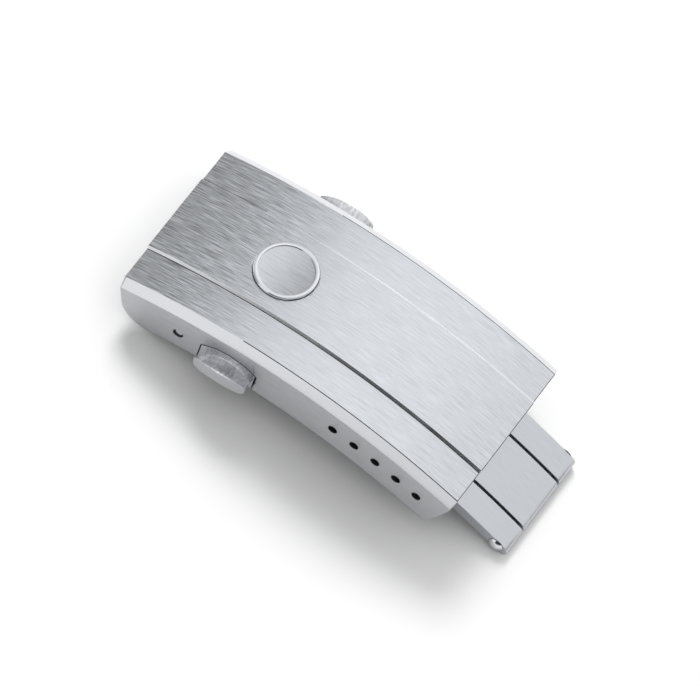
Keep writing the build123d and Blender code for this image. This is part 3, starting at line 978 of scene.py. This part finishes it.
    def tools(self) -> list[Shell]:
        """The shells that cut the notches, the spring-bar holes, the pin's bores and the badge's seat.

        The holes' stations are spaced so that their pitch is true at their own depth.

        Returns:
            The shells.
        """
        middle = self.half_width - self.wall_thickness / 2
        spans = [side.span(middle - OVERRUN, self.half_width + OVERRUN) for side in Side]
        notch = self.notch_outline(self.wall_height + OVERRUN)
        pitch = self.hole_pitch * ARCH.radius / (ARCH.radius - self.hole_depth)
        bores = [(Place(self.first_hole + pitch * number, self.hole_depth), self.hole_radius)
                 for number in range(self.hole_count)] + [(COVER_HINGE, self.pin_bore)]
        seat = bar_profile(self.seat_radius, self.band_rise - self.seat_recess, self.seat_top)
        # The notches' and bores' inner faces take the dark joint finish: painted shade.
        return [*(extruded(notch, *span, CoverFinish.JOINT) for span in spans),
                *(cross_rod(place, radius, *span, finish=CoverFinish.JOINT)
                  for span in spans for place, radius in bores),
                turned(seat, ARCH.seat(LATCH.station, 0.0), self.seat_steps, CoverFinish.MIRROR)]

    def build(self, finishes: FinishSet) -> bpy.types.Object:
        """Makes the cover: skin, inner skin, ends and feet, then notches, bores and the badge's seat.

        Args:
            finishes: The clasp's materials.
        Returns:
            The cover.
        """
        outer, inner, finish = self.section()
        finish = np.tile(finish, (self.columns, 1))
        self.draw_lines(finish, (outer[:-1] + outer[1:])[:, 0] / 2)
        outside, inside = self.skin(outer, finish), self.skin(inner, CoverFinish.INSIDE)
        rims = []
        for axis in (0, 1):
            inward = self.wall_thickness * np.eye(2)[axis]
            for place in (0, -1):
                points = np.stack([skin.points.take(place, axis) for skin in (outside, inside)])
                edge = outside.pattern.take(place, axis)
                rims.append(Patch(points, np.stack([edge, edge + inward]), CoverFinish.WALL))
        piece = Shell([outside, inside, *rims]).object("cover_shell", finishes.of(CoverFinish))
        work_on(piece, Joining.CUT, self.tools())
        break_edges(piece, self.broken_edge)
        return deliver(piece, Rider.COVER, "cover")


@dataclass
class Medallion:
    """Plain round badge with a raised polished rim and a brushed field, and two pegs below."""
    radius: float = 3.3
    floor: float = 0.05
    thickness: float = 0.60
    rim_width: float = 0.42
    rim_height: float = 0.16
    rim_chamfer: float = 0.10
    rim_slope: float = 0.06
    corner_radii: Sequence[float] = (0, 0.03, 0.05, 0.05, 0.04, 0.03, 0)
    peg_radius: float = 0.45
    peg_spread: float = 1.7
    peg_foot: float = -1.15
    peg_overlap: float = 0.1
    field_inset: float = 0.02      # the brushing ends this far inside the rim's slope
    steps: int = 128
    peg_steps: int = 40
    broken_edge: float = 0.02

    def build(self, finishes: FinishSet) -> bpy.types.Object:
        """Turns the disc's profile about its axis and adds the pegs.

        Args:
            finishes: The clasp's materials.
        Returns:
            The badge.
        """
        top = self.floor + self.thickness
        field_level = top - self.rim_height
        inner = self.radius - self.rim_width
        profile = rounded_line(
            [(0.0, self.floor), (self.radius, self.floor), (self.radius, top - self.rim_chamfer),
             (self.radius - self.rim_chamfer, top), (inner, top), (inner - self.rim_slope, field_level),
             (0.0, field_level)], self.corner_radii, steps=4)
        middle = (profile[:-1] + profile[1:]) / 2
        within_rim = middle[:, 0] < inner - self.rim_slope - self.field_inset
        brushed = within_rim & (middle[:, 1] > (self.floor + field_level) / 2)
        seat = ARCH.seat(LATCH.station, 0.0)
        shell = turned(profile, seat, self.steps, np.where(brushed, BadgeFinish.PLATE, BadgeFinish.MIRROR))
        disc = shell.patches[0]
        flat = (disc.points - seat.origin)[..., :2]
        disc.pattern = np.where(np.append(brushed, True)[:, None], flat, disc.pattern)
        peg = bar_profile(self.peg_radius, self.peg_foot, self.floor + self.peg_overlap)
        for side in Side:
            peg_seat = ARCH.seat(LATCH.station, 0.0, side.value * self.peg_spread)
            shell.patches += turned(peg, peg_seat, self.peg_steps).patches
        piece = shell.object("medallion", finishes.of(BadgeFinish))
        break_edges(piece, self.broken_edge)
        return deliver(piece, Rider.COVER, "badge")


@dataclass(frozen=True)
class BladeStock:
    """Sizes that both folding blades share."""
    top_depth: float = 4.70
    thickness: float = 1.40
    end_station: float = 28.5
    centre_half_width: float = 3.15
    slit: float = 0.30
    rail_outer: float = 6.45
    pin_radius: float = 0.5
    broken_edge: float = 0.07

    @property
    def foot_depth(self) -> float:
        """Depth of the blades' underside."""
        return self.top_depth + self.thickness

    @property
    def middle_depth(self) -> float:
        """Depth of the blades' middle."""
        return self.top_depth + self.thickness / 2

    @property
    def round_station(self) -> float:
        """Station where the round right end begins."""
        return self.end_station - self.thickness / 2

    def round_end(self, steps: int = 16) -> np.ndarray:
        """The half circle that rounds the right end, from the top to the foot.

        Args:
            steps: Its steps.
        Returns:
            Points of the half circle, as x and z.
        """
        sweep = np.linspace(math.pi / 2, -math.pi / 2, steps + 1)
        half_circle = self.thickness / 2 * as_points(np.cos(sweep), np.sin(sweep))
        return ARCH.seat(self.round_station, self.middle_depth).side_view(half_circle)


@dataclass
class CentreBlade:
    """The middle blade: a strip that rises through a neck to the tube on the cover's hinge pin."""
    stock: BladeStock = BladeStock()
    neck_station: float = -11.0
    neck_clearance: float = 0.3    # from the neck's upper tangent to the first point of the top
    eye_radius: float = 1.01
    hull_inset: float = 0.006      # keeps the strip's hull just inside the tube it is joined with
    bore_radius: float = 0.53
    pin_clearance: float = 0.03
    tube_reach: float = 8.90
    tube_steps: int = 64
    eye_points: int = 40
    neck_points: int = 8
    steps: int = 110

    def outline(self) -> np.ndarray:
        """Side view: top, round right end, foot, then the neck's two tangents round the eye.

        The neck is the hull of the eye's circle and the strip's round left end.

        Returns:
            Closed side-view outline.
        """
        stock = self.stock
        half = stock.thickness / 2
        eye = ARCH.on(COVER_HINGE.station, 0.0, COVER_HINGE.depth)[[0, 2]]
        neck = ARCH.on(self.neck_station, 0.0, stock.middle_depth)[[0, 2]]
        run = neck - eye
        heading = math.atan2(run[1], run[0])
        hull_radius = self.eye_radius - self.hull_inset
        lean = math.acos((hull_radius - half) / np.linalg.norm(run))
        upper, lower = heading + lean, heading - lean + 2 * math.pi
        level = math.pi / 2 - self.neck_station / ARCH.radius
        eye_arc, neck_foot, upper_neck = (
            centre + radius * as_points(np.cos(sweep), np.sin(sweep)) for centre, radius, sweep in (
                (eye, hull_radius, np.linspace(lower, upper, self.eye_points)),
                (neck, half, np.linspace(level + math.pi, lower, self.neck_points)),
                (neck, half, np.array([upper]))))
        top = side_arc(self.neck_station, stock.round_station, stock.top_depth, self.steps)
        foot = side_arc(stock.round_station, self.neck_station, stock.foot_depth, self.steps)
        start = int(np.searchsorted(top[:, 0], upper_neck[0, 0] + self.neck_clearance))
        return np.concatenate([top[start:-1], stock.round_end(), foot[1:-1], neck_foot, eye_arc, upper_neck])

    def build(self, finishes: FinishSet) -> bpy.types.Object:
        """Carries the side view across, joins the tube and bores both pins' holes.

        Args:
            finishes: The clasp's materials.
        Returns:
            The centre blade.
        """
        stock, reach = self.stock, self.tube_reach
        through = (-reach - OVERRUN, reach + OVERRUN)
        piece = extruded(self.outline(), -stock.centre_half_width, stock.centre_half_width).object(
            "centre_blade_bar", [finishes.blade])
        work_on(piece, Joining.ADD, [cross_rod(COVER_HINGE, self.eye_radius, -reach, reach, self.tube_steps)])
        work_on(piece, Joining.CUT, [
            cross_rod(COVER_HINGE, self.bore_radius, *through),
            cross_rod(BLADE_HINGE, stock.pin_radius + self.pin_clearance, *through)])
        break_edges(piece, stock.broken_edge)
        return deliver(piece, Rider.CENTRE_BLADE, "centre_blade")


@dataclass
class ForkBlade:
    """The outer blade: two rails beside the centre blade and a head that joins them."""
    stock: BladeStock = BladeStock()
    crotch_station: float = -14.0
    slot_end: float = 32.0
    head_station: float = -18.9
    head_reach: float = 0.12       # from the foot's left end to the head's, which hangs over it
    corner_radius: float = 0.9
    head_length: float = 3.0
    plan_end: float = 40.0
    plan_heights: Sequence[float] = (-20.0, 2.0)
    slot_steps: int = 40
    steps: int = 130

    def build(self, finishes: FinishSet) -> bpy.types.Object:
        """Carries the strip across, keeps it inside its plan outline and cuts the slot.

        Args:
            finishes: The clasp's materials.
        Returns:
            The fork blade.
        """
        stock = self.stock
        wide, last = stock.rail_outer, stock.round_station
        outline = np.concatenate([
            side_arc(self.head_station, last, stock.top_depth, self.steps)[:-1], stock.round_end(),
            side_arc(last, self.head_station, stock.foot_depth, self.steps)[1:]])
        piece = extruded(outline, -wide, wide).object("fork_blade_rails", [finishes.blade])
        left = ARCH.on(self.head_station, 0.0, stock.foot_depth)[0] - self.head_reach
        neck, clear = left + self.head_length, wide + OVERRUN
        plan = rounded_line(
            [(self.plan_end, -clear), (self.plan_end, clear), (neck, clear), (neck, wide), (left, wide),
             (left, -wide), (neck, -wide), (neck, -clear)],
            [0, 0, 0, 0, self.corner_radius, self.corner_radius, 0, 0], steps=10)
        work_on(piece, Joining.KEEP, [extruded(plan, *self.plan_heights, axis=Axis.UPRIGHT)])
        inner = stock.centre_half_width + stock.slit
        slot = strip(self.crotch_station, self.slot_end, stock.top_depth - OVERRUN,
                     stock.foot_depth + OVERRUN, self.slot_steps)
        work_on(piece, Joining.CUT, [extruded(slot, -inner, inner)])
        break_edges(piece, stock.broken_edge)
        return deliver(piece, Rider.FORK_BLADE, "fork_blade")


@dataclass
class HingePins:
    """The pins of both hinges: the cover's plain pin and the blades' pin with two low domes."""
    stock: BladeStock = BladeStock()
    head_radius: float = 0.82
    head_height: float = 0.38
    head_chamfer: float = 0.03
    dome_steps: int = 13
    cover_radius: float = 0.5
    cover_reach: float = 9.85
    cover_chamfer: float = 0.12
    steps: int = 64
    broken_edge: float = 0.02

    def dome(self, side: Side, shaft: bool) -> np.ndarray:
        """Profile of a dome on a rail's face: an arc from the rim to the axis, and the shaft behind it.

        Args:
            side: The side that the dome stands on.
            shaft: Whether the shaft goes with it.
        Returns:
            Radius and place across, from axis to axis.
        """
        rail, height, rim = self.stock.rail_outer, self.head_height, self.head_radius
        curve = (rim ** 2 + height ** 2) / (2 * height)
        radius = np.linspace(0, rim - self.head_chamfer, self.dome_steps + 1)
        across = rail + height - curve + np.sqrt(curve ** 2 - radius ** 2)
        foot = [(rim, across[-1] - self.head_chamfer), (rim, rail), (self.stock.pin_radius, rail)]
        tail = [(self.stock.pin_radius, -rail), (0.0, -rail)] if shaft else [(0.0, rail)]
        profile = np.concatenate([as_points(radius, across), foot, tail])
        return profile * np.array([1.0, side.value])

    def build(self, finishes: FinishSet) -> None:
        """Turns the three pins; the near dome is polished, and its rim and shaft take a dark finish, painted
        shade where they stand in the slit.

        Args:
            finishes: The clasp's materials.
        """
        reach, radius, chamfer = self.cover_reach, self.cover_radius, self.cover_chamfer
        half = [(0.0, -reach), (radius - chamfer, -reach), (radius, -reach + chamfer)]
        near, far = self.dome(Side.NEAR, True), self.dome(Side.FAR, False)
        # Painted shade: the near dome's rim and the shaft take the dark joint finish.
        shaded_rim_and_shaft = np.where(np.arange(len(near) - 1) < self.dome_steps, PinFinish.MIRROR, PinFinish.JOINT)
        plain = np.array(half + [(wide, -across) for wide, across in reversed(half)])
        fork, shiny, both = Rider.FORK_BLADE, PinFinish.MIRROR, finishes.of(PinFinish)
        for name, node, profile, place, finish, rider, kinds in (
                ("blade_hinge_pin_domed", "blade_hinge_pin", near, BLADE_HINGE, shaded_rim_and_shaft, fork, both),
                ("blade_hinge_cap_domed", "blade_hinge_cap", far, BLADE_HINGE, shiny, fork, both),
                ("cover_pin", "cover_hinge_pin", plain, COVER_HINGE, shiny, Rider.COVER, [finishes.mirror])):
            seat = ARCH.seat(place.station, place.depth)
            piece = turned(profile, seat, self.steps, finish, Axis.ACROSS).object(name, kinds)
            break_edges(piece, self.broken_edge)
            deliver(piece, rider, node)


@dataclass(frozen=True)
class PadSize:
    """Sizes of a thumb pad's upright section: arched on top, rounded at its lower corners."""
    foot_depth: float
    side: float
    side_height: float
    crown: float
    corner_share: float = 0.5      # radius of the lower corners as a share of the sides' height
    CROWN_STEPS: ClassVar[int] = 60
    CROWN_CORNER: ClassVar[float] = 0.05
    CORNER_STEPS: ClassVar[int] = 6
    BASE_STEPS: ClassVar[int] = 36

    def outline(self) -> np.ndarray:
        """The closed section: a crown arc through the two upper corners, then round by the base.

        Returns:
            Points, as place along the arch and height over the foot; the last repeats the first.
        """
        radius = (self.side ** 2 + self.crown ** 2) / (2 * self.crown)
        lean = math.asin(self.side / radius)
        sweep = np.linspace(-lean, lean, self.CROWN_STEPS + 1)
        level = self.side_height + self.crown - radius
        arc = as_points(radius * np.sin(sweep), level + radius * np.cos(sweep))
        corner = self.corner_share * self.side_height
        turn = np.linspace(0, math.pi / 2, self.CORNER_STEPS + 1)
        right = as_points(self.side - corner * (1 - np.cos(turn)), corner * (1 - np.sin(turn)))
        base = as_points(np.linspace(self.side - corner, corner - self.side, self.BASE_STEPS + 1)[1:-1], 0.0)
        upper = rounded_line([arc[-2], arc[-1], right[1]], [0, self.CROWN_CORNER, 0], steps=3)[1:-1]
        mirrored = [-1, 1]
        return np.concatenate([
            arc[1:-1], upper, right[1:], base, right[:0:-1] * mirrored, upper[::-1] * mirrored, arc[1:2]])


@dataclass
class PushButton:
    """A push button: arched thumb pad, block in the cover's notch, and a shoulder on the guide pins."""
    side: Side
    cover: CoverShell
    gap: float = 0.07
    crown_gap: float = 0.22
    trailing_gap: float = 0.18
    face_setback: float = 0.05
    foot_lift: float = 0.05
    shoulder_half_length: float = 3.95
    shoulder_outer: float = 8.95
    shoulder_thickness: float = 1.75
    shoulder_top: float = 1.85
    shoulder_foot: float = 4.50
    shoulder_steps: int = 30
    pad_station: float = -6.95
    pad_reach: float = 2.137
    pad_plan_radius: float = 11.6
    pad_root: PadSize = PadSize(5.30, 2.60, 0.50, 1.40)
    pad_front: PadSize = PadSize(4.35, 3.20, 1.59, 0.26)
    pad_edge: float = 0.17
    pad_edge_steps: int = 6
    pad_rows: int = 10             # rows of the straight part
    pad_rings: int = 9             # rings of the front face
    pad_sink: float = 0.2          # share of its reach that the pad goes on into the block
    pad_sink_scale: float = 0.9
    pin_bore: float = 0.45
    pin_bore_end: float = 8.9
    bore_steps: int = 40
    pawl_half_width: float = 1.2
    pawl_arm: float = 0.62
    pawl_setback: float = 0.37
    pawl_lift: float = 0.5
    broken_edge: float = 0.05

    def pad(self) -> Shell:
        """The thumb pad: straight lines from its root section to its front section, rounded in plan.

        Point(u, v) = (1 - v) root(u) + v front(u). The lines end on an upright cylinder, which is
        the front face, and the edge between them is a quarter round of radius pad_edge. Where the
        lines meet the cylinder is found in four rounds.

        Returns:
            The mantle with its rounded edge, the front face and a lid inside the block.
        """
        edge, rings, straight, bends = self.pad_edge, self.pad_rings, self.pad_rows, self.pad_edge_steps
        turn = np.linspace(0, math.pi / 2, bends + 1)[1:]
        share = np.concatenate([[-self.pad_sink], np.linspace(0, 1, straight), np.ones(bends + rings)])
        shrink, out = (np.concatenate([np.zeros(straight + 1), edge * rounding, np.full(rings, edge)])
                       for rounding in (1 - np.cos(turn), np.sin(turn)))
        closing = np.linspace(1, 0, rings + 1)[1:]
        scale = np.concatenate([[self.pad_sink_scale], np.ones(straight + bends), closing])
        start, end = self.cover.half_width - self.face_setback, self.cover.half_width + self.pad_reach
        sections = []
        for size, across in ((self.pad_root, start), (self.pad_front, end)):
            outline = size.outline()
            middle = outline.mean(axis=0)
            away = outline - middle
            unit = away / np.linalg.norm(away, axis=1)[:, None]
            spots = middle + (away - unit * shrink[:, None, None]) * scale[:, None, None]
            seat = ARCH.seat(self.pad_station, size.foot_depth)
            sections.append(seat.carry(np.insert(spots, 1, across, axis=-1)))
        root, front = sections
        axis_x = ARCH.on(self.pad_station, 0.0, self.pad_root.foot_depth)[0]
        reach = np.ones(root.shape[:-1])
        for _ in range(4):
            aside = root[..., 0] + (front[..., 0] - root[..., 0]) * reach - axis_x
            bow = np.sqrt(self.pad_plan_radius ** 2 - aside ** 2) - self.pad_plan_radius
            reach = (end + bow - start) / (end - start)
        across = start + share[:, None] * (reach * (end - start) - edge) + out[:, None]
        points = root + (front - root) * ((across - start) / (end - start))[..., None]
        points[..., 1] = self.side.value * across
        pattern = as_points(across, path_length(points[straight]))
        mantle = straight + 1 + bends
        crown = np.arange(points.shape[1] - 1) < PadSize.CROWN_STEPS
        face = points[mantle - 1:]
        # The crown takes the pad finish, whose paler colour is painted light.
        finish = np.where(crown, ButtonFinish.PAD, ButtonFinish.WALL)
        return Shell([Patch(points[:mantle], pattern[:mantle], finish),
                      Patch(face, face[..., [0, 2]].copy(), ButtonFinish.WALL)],
                     [Lid(points[0, :-1], pattern[0, :-1], ButtonFinish.WALL)])

    def grooves(self) -> list[Shell]:
        """The shells that cut the pawl's groove and the guide pins' bores.

        Returns:
            The shells.
        """
        inner = self.shoulder_outer - self.shoulder_thickness - OVERRUN
        wide, arm, lift = self.pawl_half_width, self.pawl_arm, self.pawl_lift
        arm_view = ARCH.seat(LATCH.station, self.shoulder_top).side_view(
            np.array([(-wide, -arm), (wide, -arm), (wide, lift), (-wide, lift)]))
        pin_seat = ARCH.seat(LATCH.station, LATCH.depth)
        cuts = [(arm_view, self.shoulder_outer - self.pawl_setback)]
        cuts += [(pin_seat.side_view(circle(self.pin_bore, self.bore_steps, (spread, 0.0))), self.pin_bore_end)
                 for spread in (-GUIDE_PIN_SPREAD, GUIDE_PIN_SPREAD)]
        return [extruded(view, *self.side.span(end, inner), ButtonFinish.INSIDE) for view, end in cuts]

    def build(self, finishes: FinishSet) -> bpy.types.Object:
        """Joins block, pad and shoulder, then cuts the pawl's groove and the pins' bores.

        Args:
            finishes: The clasp's materials.
        Returns:
            The push button.
        """
        outer, half, thickness = self.shoulder_outer, self.shoulder_half_length, self.shoulder_thickness
        shoulder = strip(LATCH.station - half, LATCH.station + half, self.shoulder_top, self.shoulder_foot,
                         self.shoulder_steps)
        block = self.cover.notch_outline(
            self.cover.wall_height - self.foot_lift, self.gap, self.crown_gap, self.trailing_gap)
        block_span = self.side.span(self.cover.half_width - self.face_setback, outer - thickness / 2)
        shoulder_span = self.side.span(outer, outer - thickness)
        name = f"push_button_{self.side.word}"
        # The block's sides in the notch and the shoulder's ends take the dark joint finish: painted shade in
        # the gaps.
        piece = extruded(block, *block_span, ButtonFinish.JOINT, ButtonFinish.MIRROR).object(
            f"{name}_pad", finishes.of(ButtonFinish))
        work_on(piece, Joining.ADD, [
            extruded(shoulder, *shoulder_span, ButtonFinish.INSIDE, ButtonFinish.JOINT), self.pad()])
        work_on(piece, Joining.CUT, self.grooves())
        break_edges(piece, self.broken_edge)
        rider = Rider.NEAR_BUTTON if self.side is Side.NEAR else Rider.FAR_BUTTON
        return deliver(piece, rider, name)


@dataclass
class ButtonSprings:
    """The two wound springs behind one button, on the guide pins."""
    side: Side
    wire_radius: float = 0.148
    wire_steps: int = 14
    coil_radius: float = 0.67
    half_turns: int = 7
    half_turn_steps: int = 18
    inner_end: float = 2.30
    outer_end: float = 7.20
    travel: float = 0.8

    def coil(self, spread: float) -> Shell:
        """A round wire along a helix: a circle square to the path at every step.

        Path(a) = (R cos a, start + pitch a / 2 pi, R sin a), from the button to the housing.

        Args:
            spread: The coil's place beside the latch's middle.
        Returns:
            The closed wire.
        """
        turn = np.linspace(0, math.pi * self.half_turns, self.half_turns * self.half_turn_steps + 1)
        length = self.outer_end - self.inner_end - 2 * self.wire_radius
        across = self.outer_end - self.wire_radius - length * turn / turn[-1]
        outward = as_points(np.cos(turn), 0.0, np.sin(turn))
        path = self.coil_radius * outward
        path[:, 1] = -across
        heading = np.gradient(path, axis=0)
        heading /= np.linalg.norm(heading, axis=1)[:, None]
        sideways = np.cross(heading, outward)
        around = np.linspace(0, 2 * math.pi, self.wire_steps + 1)
        ring = np.cos(around)[:, None] * outward[:, None] + np.sin(around)[:, None] * sideways[:, None]
        local = path[:, None] + self.wire_radius * ring
        local[..., 1] *= -self.side.value
        local[..., 0] += spread
        points = ARCH.seat(LATCH.station, LATCH.depth).carry(local)
        pattern = as_points(path_length(path)[:, None], around * self.wire_radius)
        return Shell([Patch(points, pattern)], [Lid(points[end, :-1], pattern[end, :-1]) for end in (0, -1)])

    def build(self, finishes: FinishSet) -> bpy.types.Object:
        """Winds both springs into one piece that rides on the cover.

        Args:
            finishes: The clasp's materials.
        Returns:
            The springs.
        """
        both = [self.coil(spread) for spread in (-GUIDE_PIN_SPREAD, GUIDE_PIN_SPREAD)]
        shell = Shell(sum((coil.patches for coil in both), []), sum((coil.lids for coil in both), []))
        node = f"button_springs_{self.side.word}"
        piece = deliver(shell.object(f"{node}_wound", [finishes.spring]), Rider.COVER, node)
        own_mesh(piece)
        return piece


@dataclass
class LatchParts:
    """The flat-faced inner parts that keep their CAD shape and get their real finish."""
    tumbled: Sequence[str] = (
        "latch_housing", "latch_pawl_near", "latch_pawl_far", "catch_near", "catch_far", "pawl_rivet_near",
        "pawl_rivet_far", "strand_lug_rivets", "housing_screws")
    polished: Sequence[str] = ("guide_pins",)
    satin: Sequence[str] = ("strand_lug",)

    def dress(self, finishes: FinishSet) -> None:
        """Gives each CAD node its material.

        Args:
            finishes: The clasp's materials.
        """
        for names, material in ((self.tumbled, finishes.latch), (self.polished, finishes.mirror),
                                (self.satin, finishes.inside)):
            for name in names:
                for slot in frame["nodes"][name].material_slots:
                    slot.material = material
                LOG.info("%s: keeps its CAD shape, finished as %s", name, material.name)


@dataclass(frozen=True)
class PhotoCamera:
    """The photograph's camera, fitted in the arch's frame: angles in degrees, lengths in mm."""
    azimuth: float = -13.342
    elevation: float = 58.962
    roll: float = 22.585
    shift_right: float = -0.374
    shift_down: float = -3.7275
    distance: float = 1015.83
    focal_pixels: float = 10402.2
    picture: float = 700.0
    sensor: float = 36.0
    clip: tuple[float, float] = (0.05, 20.0)

    def build(self) -> None:
        """Makes the camera: its axes follow from the three angles and its place from the shifts."""
        side, up, turn = (math.radians(value) for value in (self.azimuth, self.elevation, self.roll))
        forward = np.array([math.sin(side) * math.cos(up), math.cos(side) * math.cos(up), -math.sin(up)])
        level = np.array([math.cos(side), -math.sin(side), 0.0])
        above = np.cross(level, forward)
        right = math.cos(turn) * level + math.sin(turn) * above
        top = -math.sin(turn) * level + math.cos(turn) * above
        axes = np.array([right, -top, forward])
        place = -axes.T @ np.array([self.shift_right, self.shift_down, self.distance])
        origin, *tips = ARCH.in_row(place + np.array([np.zeros(3), right, top, -forward]))
        matrix = np.eye(4)
        matrix[:3, :3] = (np.array(tips) - origin).T / MM
        matrix[:3, 3] = origin
        data = bpy.data.cameras.new("photo_camera")
        data.sensor_width = self.sensor
        data.lens = self.focal_pixels * self.sensor / self.picture
        data.clip_start, data.clip_end = self.clip
        camera = bpy.data.objects.new("photo_camera", data)
        camera.matrix_world = Matrix(matrix.tolist())
        bpy.context.scene.collection.objects.link(camera)
        bpy.context.scene.camera = camera


@dataclass(frozen=True)
class Ramp:
    """A smooth step of light between two levels, over factor x one part of the direction + another."""
    one: str
    factor: float
    other: str
    ends: tuple[float, float]
    levels: tuple[float, float]


@dataclass
class Studio:
    """A pale paper sweep in a soft white tent that is open at its low front and dim at its left."""
    floor_half: float = 6.0
    floor_colour: str = "#f4f4f4"
    floor_gain: float = 0.82       # how much of its colour the paper shows the camera and the steel
    box_power: float = 8.8
    box_size: tuple[float, float] = (0.42, 0.42)
    box_place: tuple[float, float, float] = (-0.47, 0.55, 0.68)
    RAMPS: ClassVar[Mapping[str, Ramp]] = {
        "front": Ramp("y", 0.5, "z", (0.0, 0.28), (0.05, 1.0)),
        "gap": Ramp("y", 0.0, "x", (-0.34, -0.22), (1.0, 0.0)),
        "left": Ramp("y", -0.35, "x", (-0.68, -0.46), (0.40, 1.0)),
        "right": Ramp("z", -0.8, "x", (0.55, 0.85), (1.0, 0.2)),
        "fore": Ramp("y", 0.0, "x", (-0.6, 0.4), (1.0, 0.84)),
        "aft_left": Ramp("y", 0.0, "x", (-0.40, -0.15), (1.10, 1.32)),
        "aft_right": Ramp("y", 0.0, "x", (0.05, 0.40), (1.0, 0.80)),
        "turn": Ramp("z", 0.0, "y", (-0.3, 0.4), (0.0, 1.0)),
        "back": Ramp("z", -0.6, "y", (0.45, 0.85), (0.0, 0.4)),
    }
    SUMS: ClassVar[Sequence[Sequence[str]]] = (
        ("aft", "MULTIPLY", "aft_left", "aft_right"),
        ("rise", "SUBTRACT", "aft", "fore"),
        ("height", "MULTIPLY_ADD", "turn", "rise", "fore"),
        ("open", "MAXIMUM", "front", "gap"),
        ("ends", "MULTIPLY", "left", "right"),
        ("wall", "MULTIPLY", "open", "ends"),
        ("roof", "MULTIPLY", "wall", "height"),
        ("all", "ADD", "roof", "back"),
    )

    def floor(self) -> bpy.types.Object:
        """Makes the floor: a plain pale sheet that shows white to the camera and keeps the shadow.

        Returns:
            The floor.
        """
        half = self.floor_half
        mesh = bpy.data.meshes.new("floor")
        corners = [(-half, -half, 0), (half, -half, 0), (half, half, 0), (-half, half, 0)]
        mesh.from_pydata(corners, [], [(0, 1, 2, 3)])
        thing = bpy.data.objects.new("floor", mesh)
        bpy.context.scene.collection.objects.link(thing)
        material = bpy.data.materials.new("matt_paper_sweep")
        material.use_nodes = True
        tree = material.node_tree
        tree.nodes.clear()
        ray = add_node(tree, "ShaderNodeLightPath").outputs
        seen = ray["Is Camera Ray"]
        for kind in ("Is Glossy Ray", "Is Transmission Ray"):
            larger = add_node(tree, "ShaderNodeMath", {"operation": "MAXIMUM"}, links={0: seen, 1: ray[kind]})
            seen = larger.outputs[0]
        plain = linear(self.floor_colour)
        paper = add_node(tree, "ShaderNodeMix", {"data_type": "RGBA", "clamp_result": False}, {
            COLOUR_A: plain, COLOUR_B: (*(part * self.floor_gain for part in plain[:3]), 1.0)}, {0: seen})
        shader = add_node(tree, "ShaderNodeBsdfDiffuse", links={"Color": paper.outputs[COLOUR_OUT]})
        add_node(tree, "ShaderNodeOutputMaterial", links={"Surface": shader.outputs[0]})
        mesh.materials.append(material)
        return thing

    def tent(self) -> None:
        """Makes the world, from the parts x, y and z of each direction.

        Light = max(front, gap) x left x right x height + back, all smooth steps: front is dark
        where z + 0.5 y is low, gap opens it again to the left, left and right dim the tent's two
        ends, height goes over from the fore to the aft roof, and back is a low strip at +y.
        """
        world = bpy.data.worlds.new("soft_tent")
        bpy.context.scene.world = world
        world.use_nodes = True
        tree = world.node_tree
        tree.nodes.clear()
        direction = add_node(tree, "ShaderNodeTexCoord").outputs["Generated"]
        parts = dict(zip("xyz", add_node(tree, "ShaderNodeSeparateXYZ", links={0: direction}).outputs))
        light = {}
        for name, ramp in self.RAMPS.items():
            mixed = add_node(tree, "ShaderNodeMath", {"operation": "MULTIPLY_ADD"}, {1: ramp.factor},
                             {0: parts[ramp.one], 2: parts[ramp.other]})
            light[name] = add_node(tree, "ShaderNodeMapRange", {"interpolation_type": "SMOOTHSTEP"}, {
                "From Min": ramp.ends[0], "From Max": ramp.ends[1],
                "To Min": ramp.levels[0], "To Max": ramp.levels[1]}, {"Value": mixed.outputs[0]}).outputs[0]
        for name, operation, *sources in self.SUMS:
            links = {number: light[source] for number, source in enumerate(sources)}
            light[name] = add_node(tree, "ShaderNodeMath", {"operation": operation}, links=links).outputs[0]
        shell = add_node(tree, "ShaderNodeBackground", values={"Color": linear("#ffffff")},
                         links={"Strength": light["all"]})
        add_node(tree, "ShaderNodeOutputWorld", links={"Surface": shell.outputs[0]})

    def box(self, floor: bpy.types.Object) -> None:
        """Hangs a soft box behind the clasp that lights the paper, so the shadow falls to the front.

        The steel is lit by the tent alone: the box's mirror image would burn out the plate.

        Args:
            floor: The paper.
        """
        data = bpy.data.lights.new("soft_box", "AREA")
        data.shape = "RECTANGLE"
        data.size, data.size_y = self.box_size
        data.energy = self.box_power
        thing = bpy.data.objects.new("soft_box", data)
        thing.location = self.box_place
        thing.rotation_euler = (-Vector(self.box_place)).to_track_quat("-Z", "Y").to_euler()
        lit = bpy.data.collections.new("paper_only")
        lit.objects.link(floor)
        thing.light_linking.receiver_collection = lit
        bpy.context.scene.collection.objects.link(thing)

    def build(self) -> None:
        """Sets up floor, tent, soft box and camera."""
        bpy.context.scene.view_settings.view_transform = "Standard"
        self.tent()
        self.box(self.floor())
        PhotoCamera().build()


def main() -> None:
    logging.basicConfig(level=logging.INFO, format="%(name)s: %(message)s")
    Studio().build()
    finishes = FinishSet()
    cover = CoverShell()
    for part in (cover, Medallion(), CentreBlade(), ForkBlade(), HingePins()):
        part.build(finishes)
    for side in Side:
        PushButton(side, cover).build(finishes)
        ButtonSprings(side).build(finishes)
    LatchParts().dress(finishes)


if __name__ == "__main__":
    main()
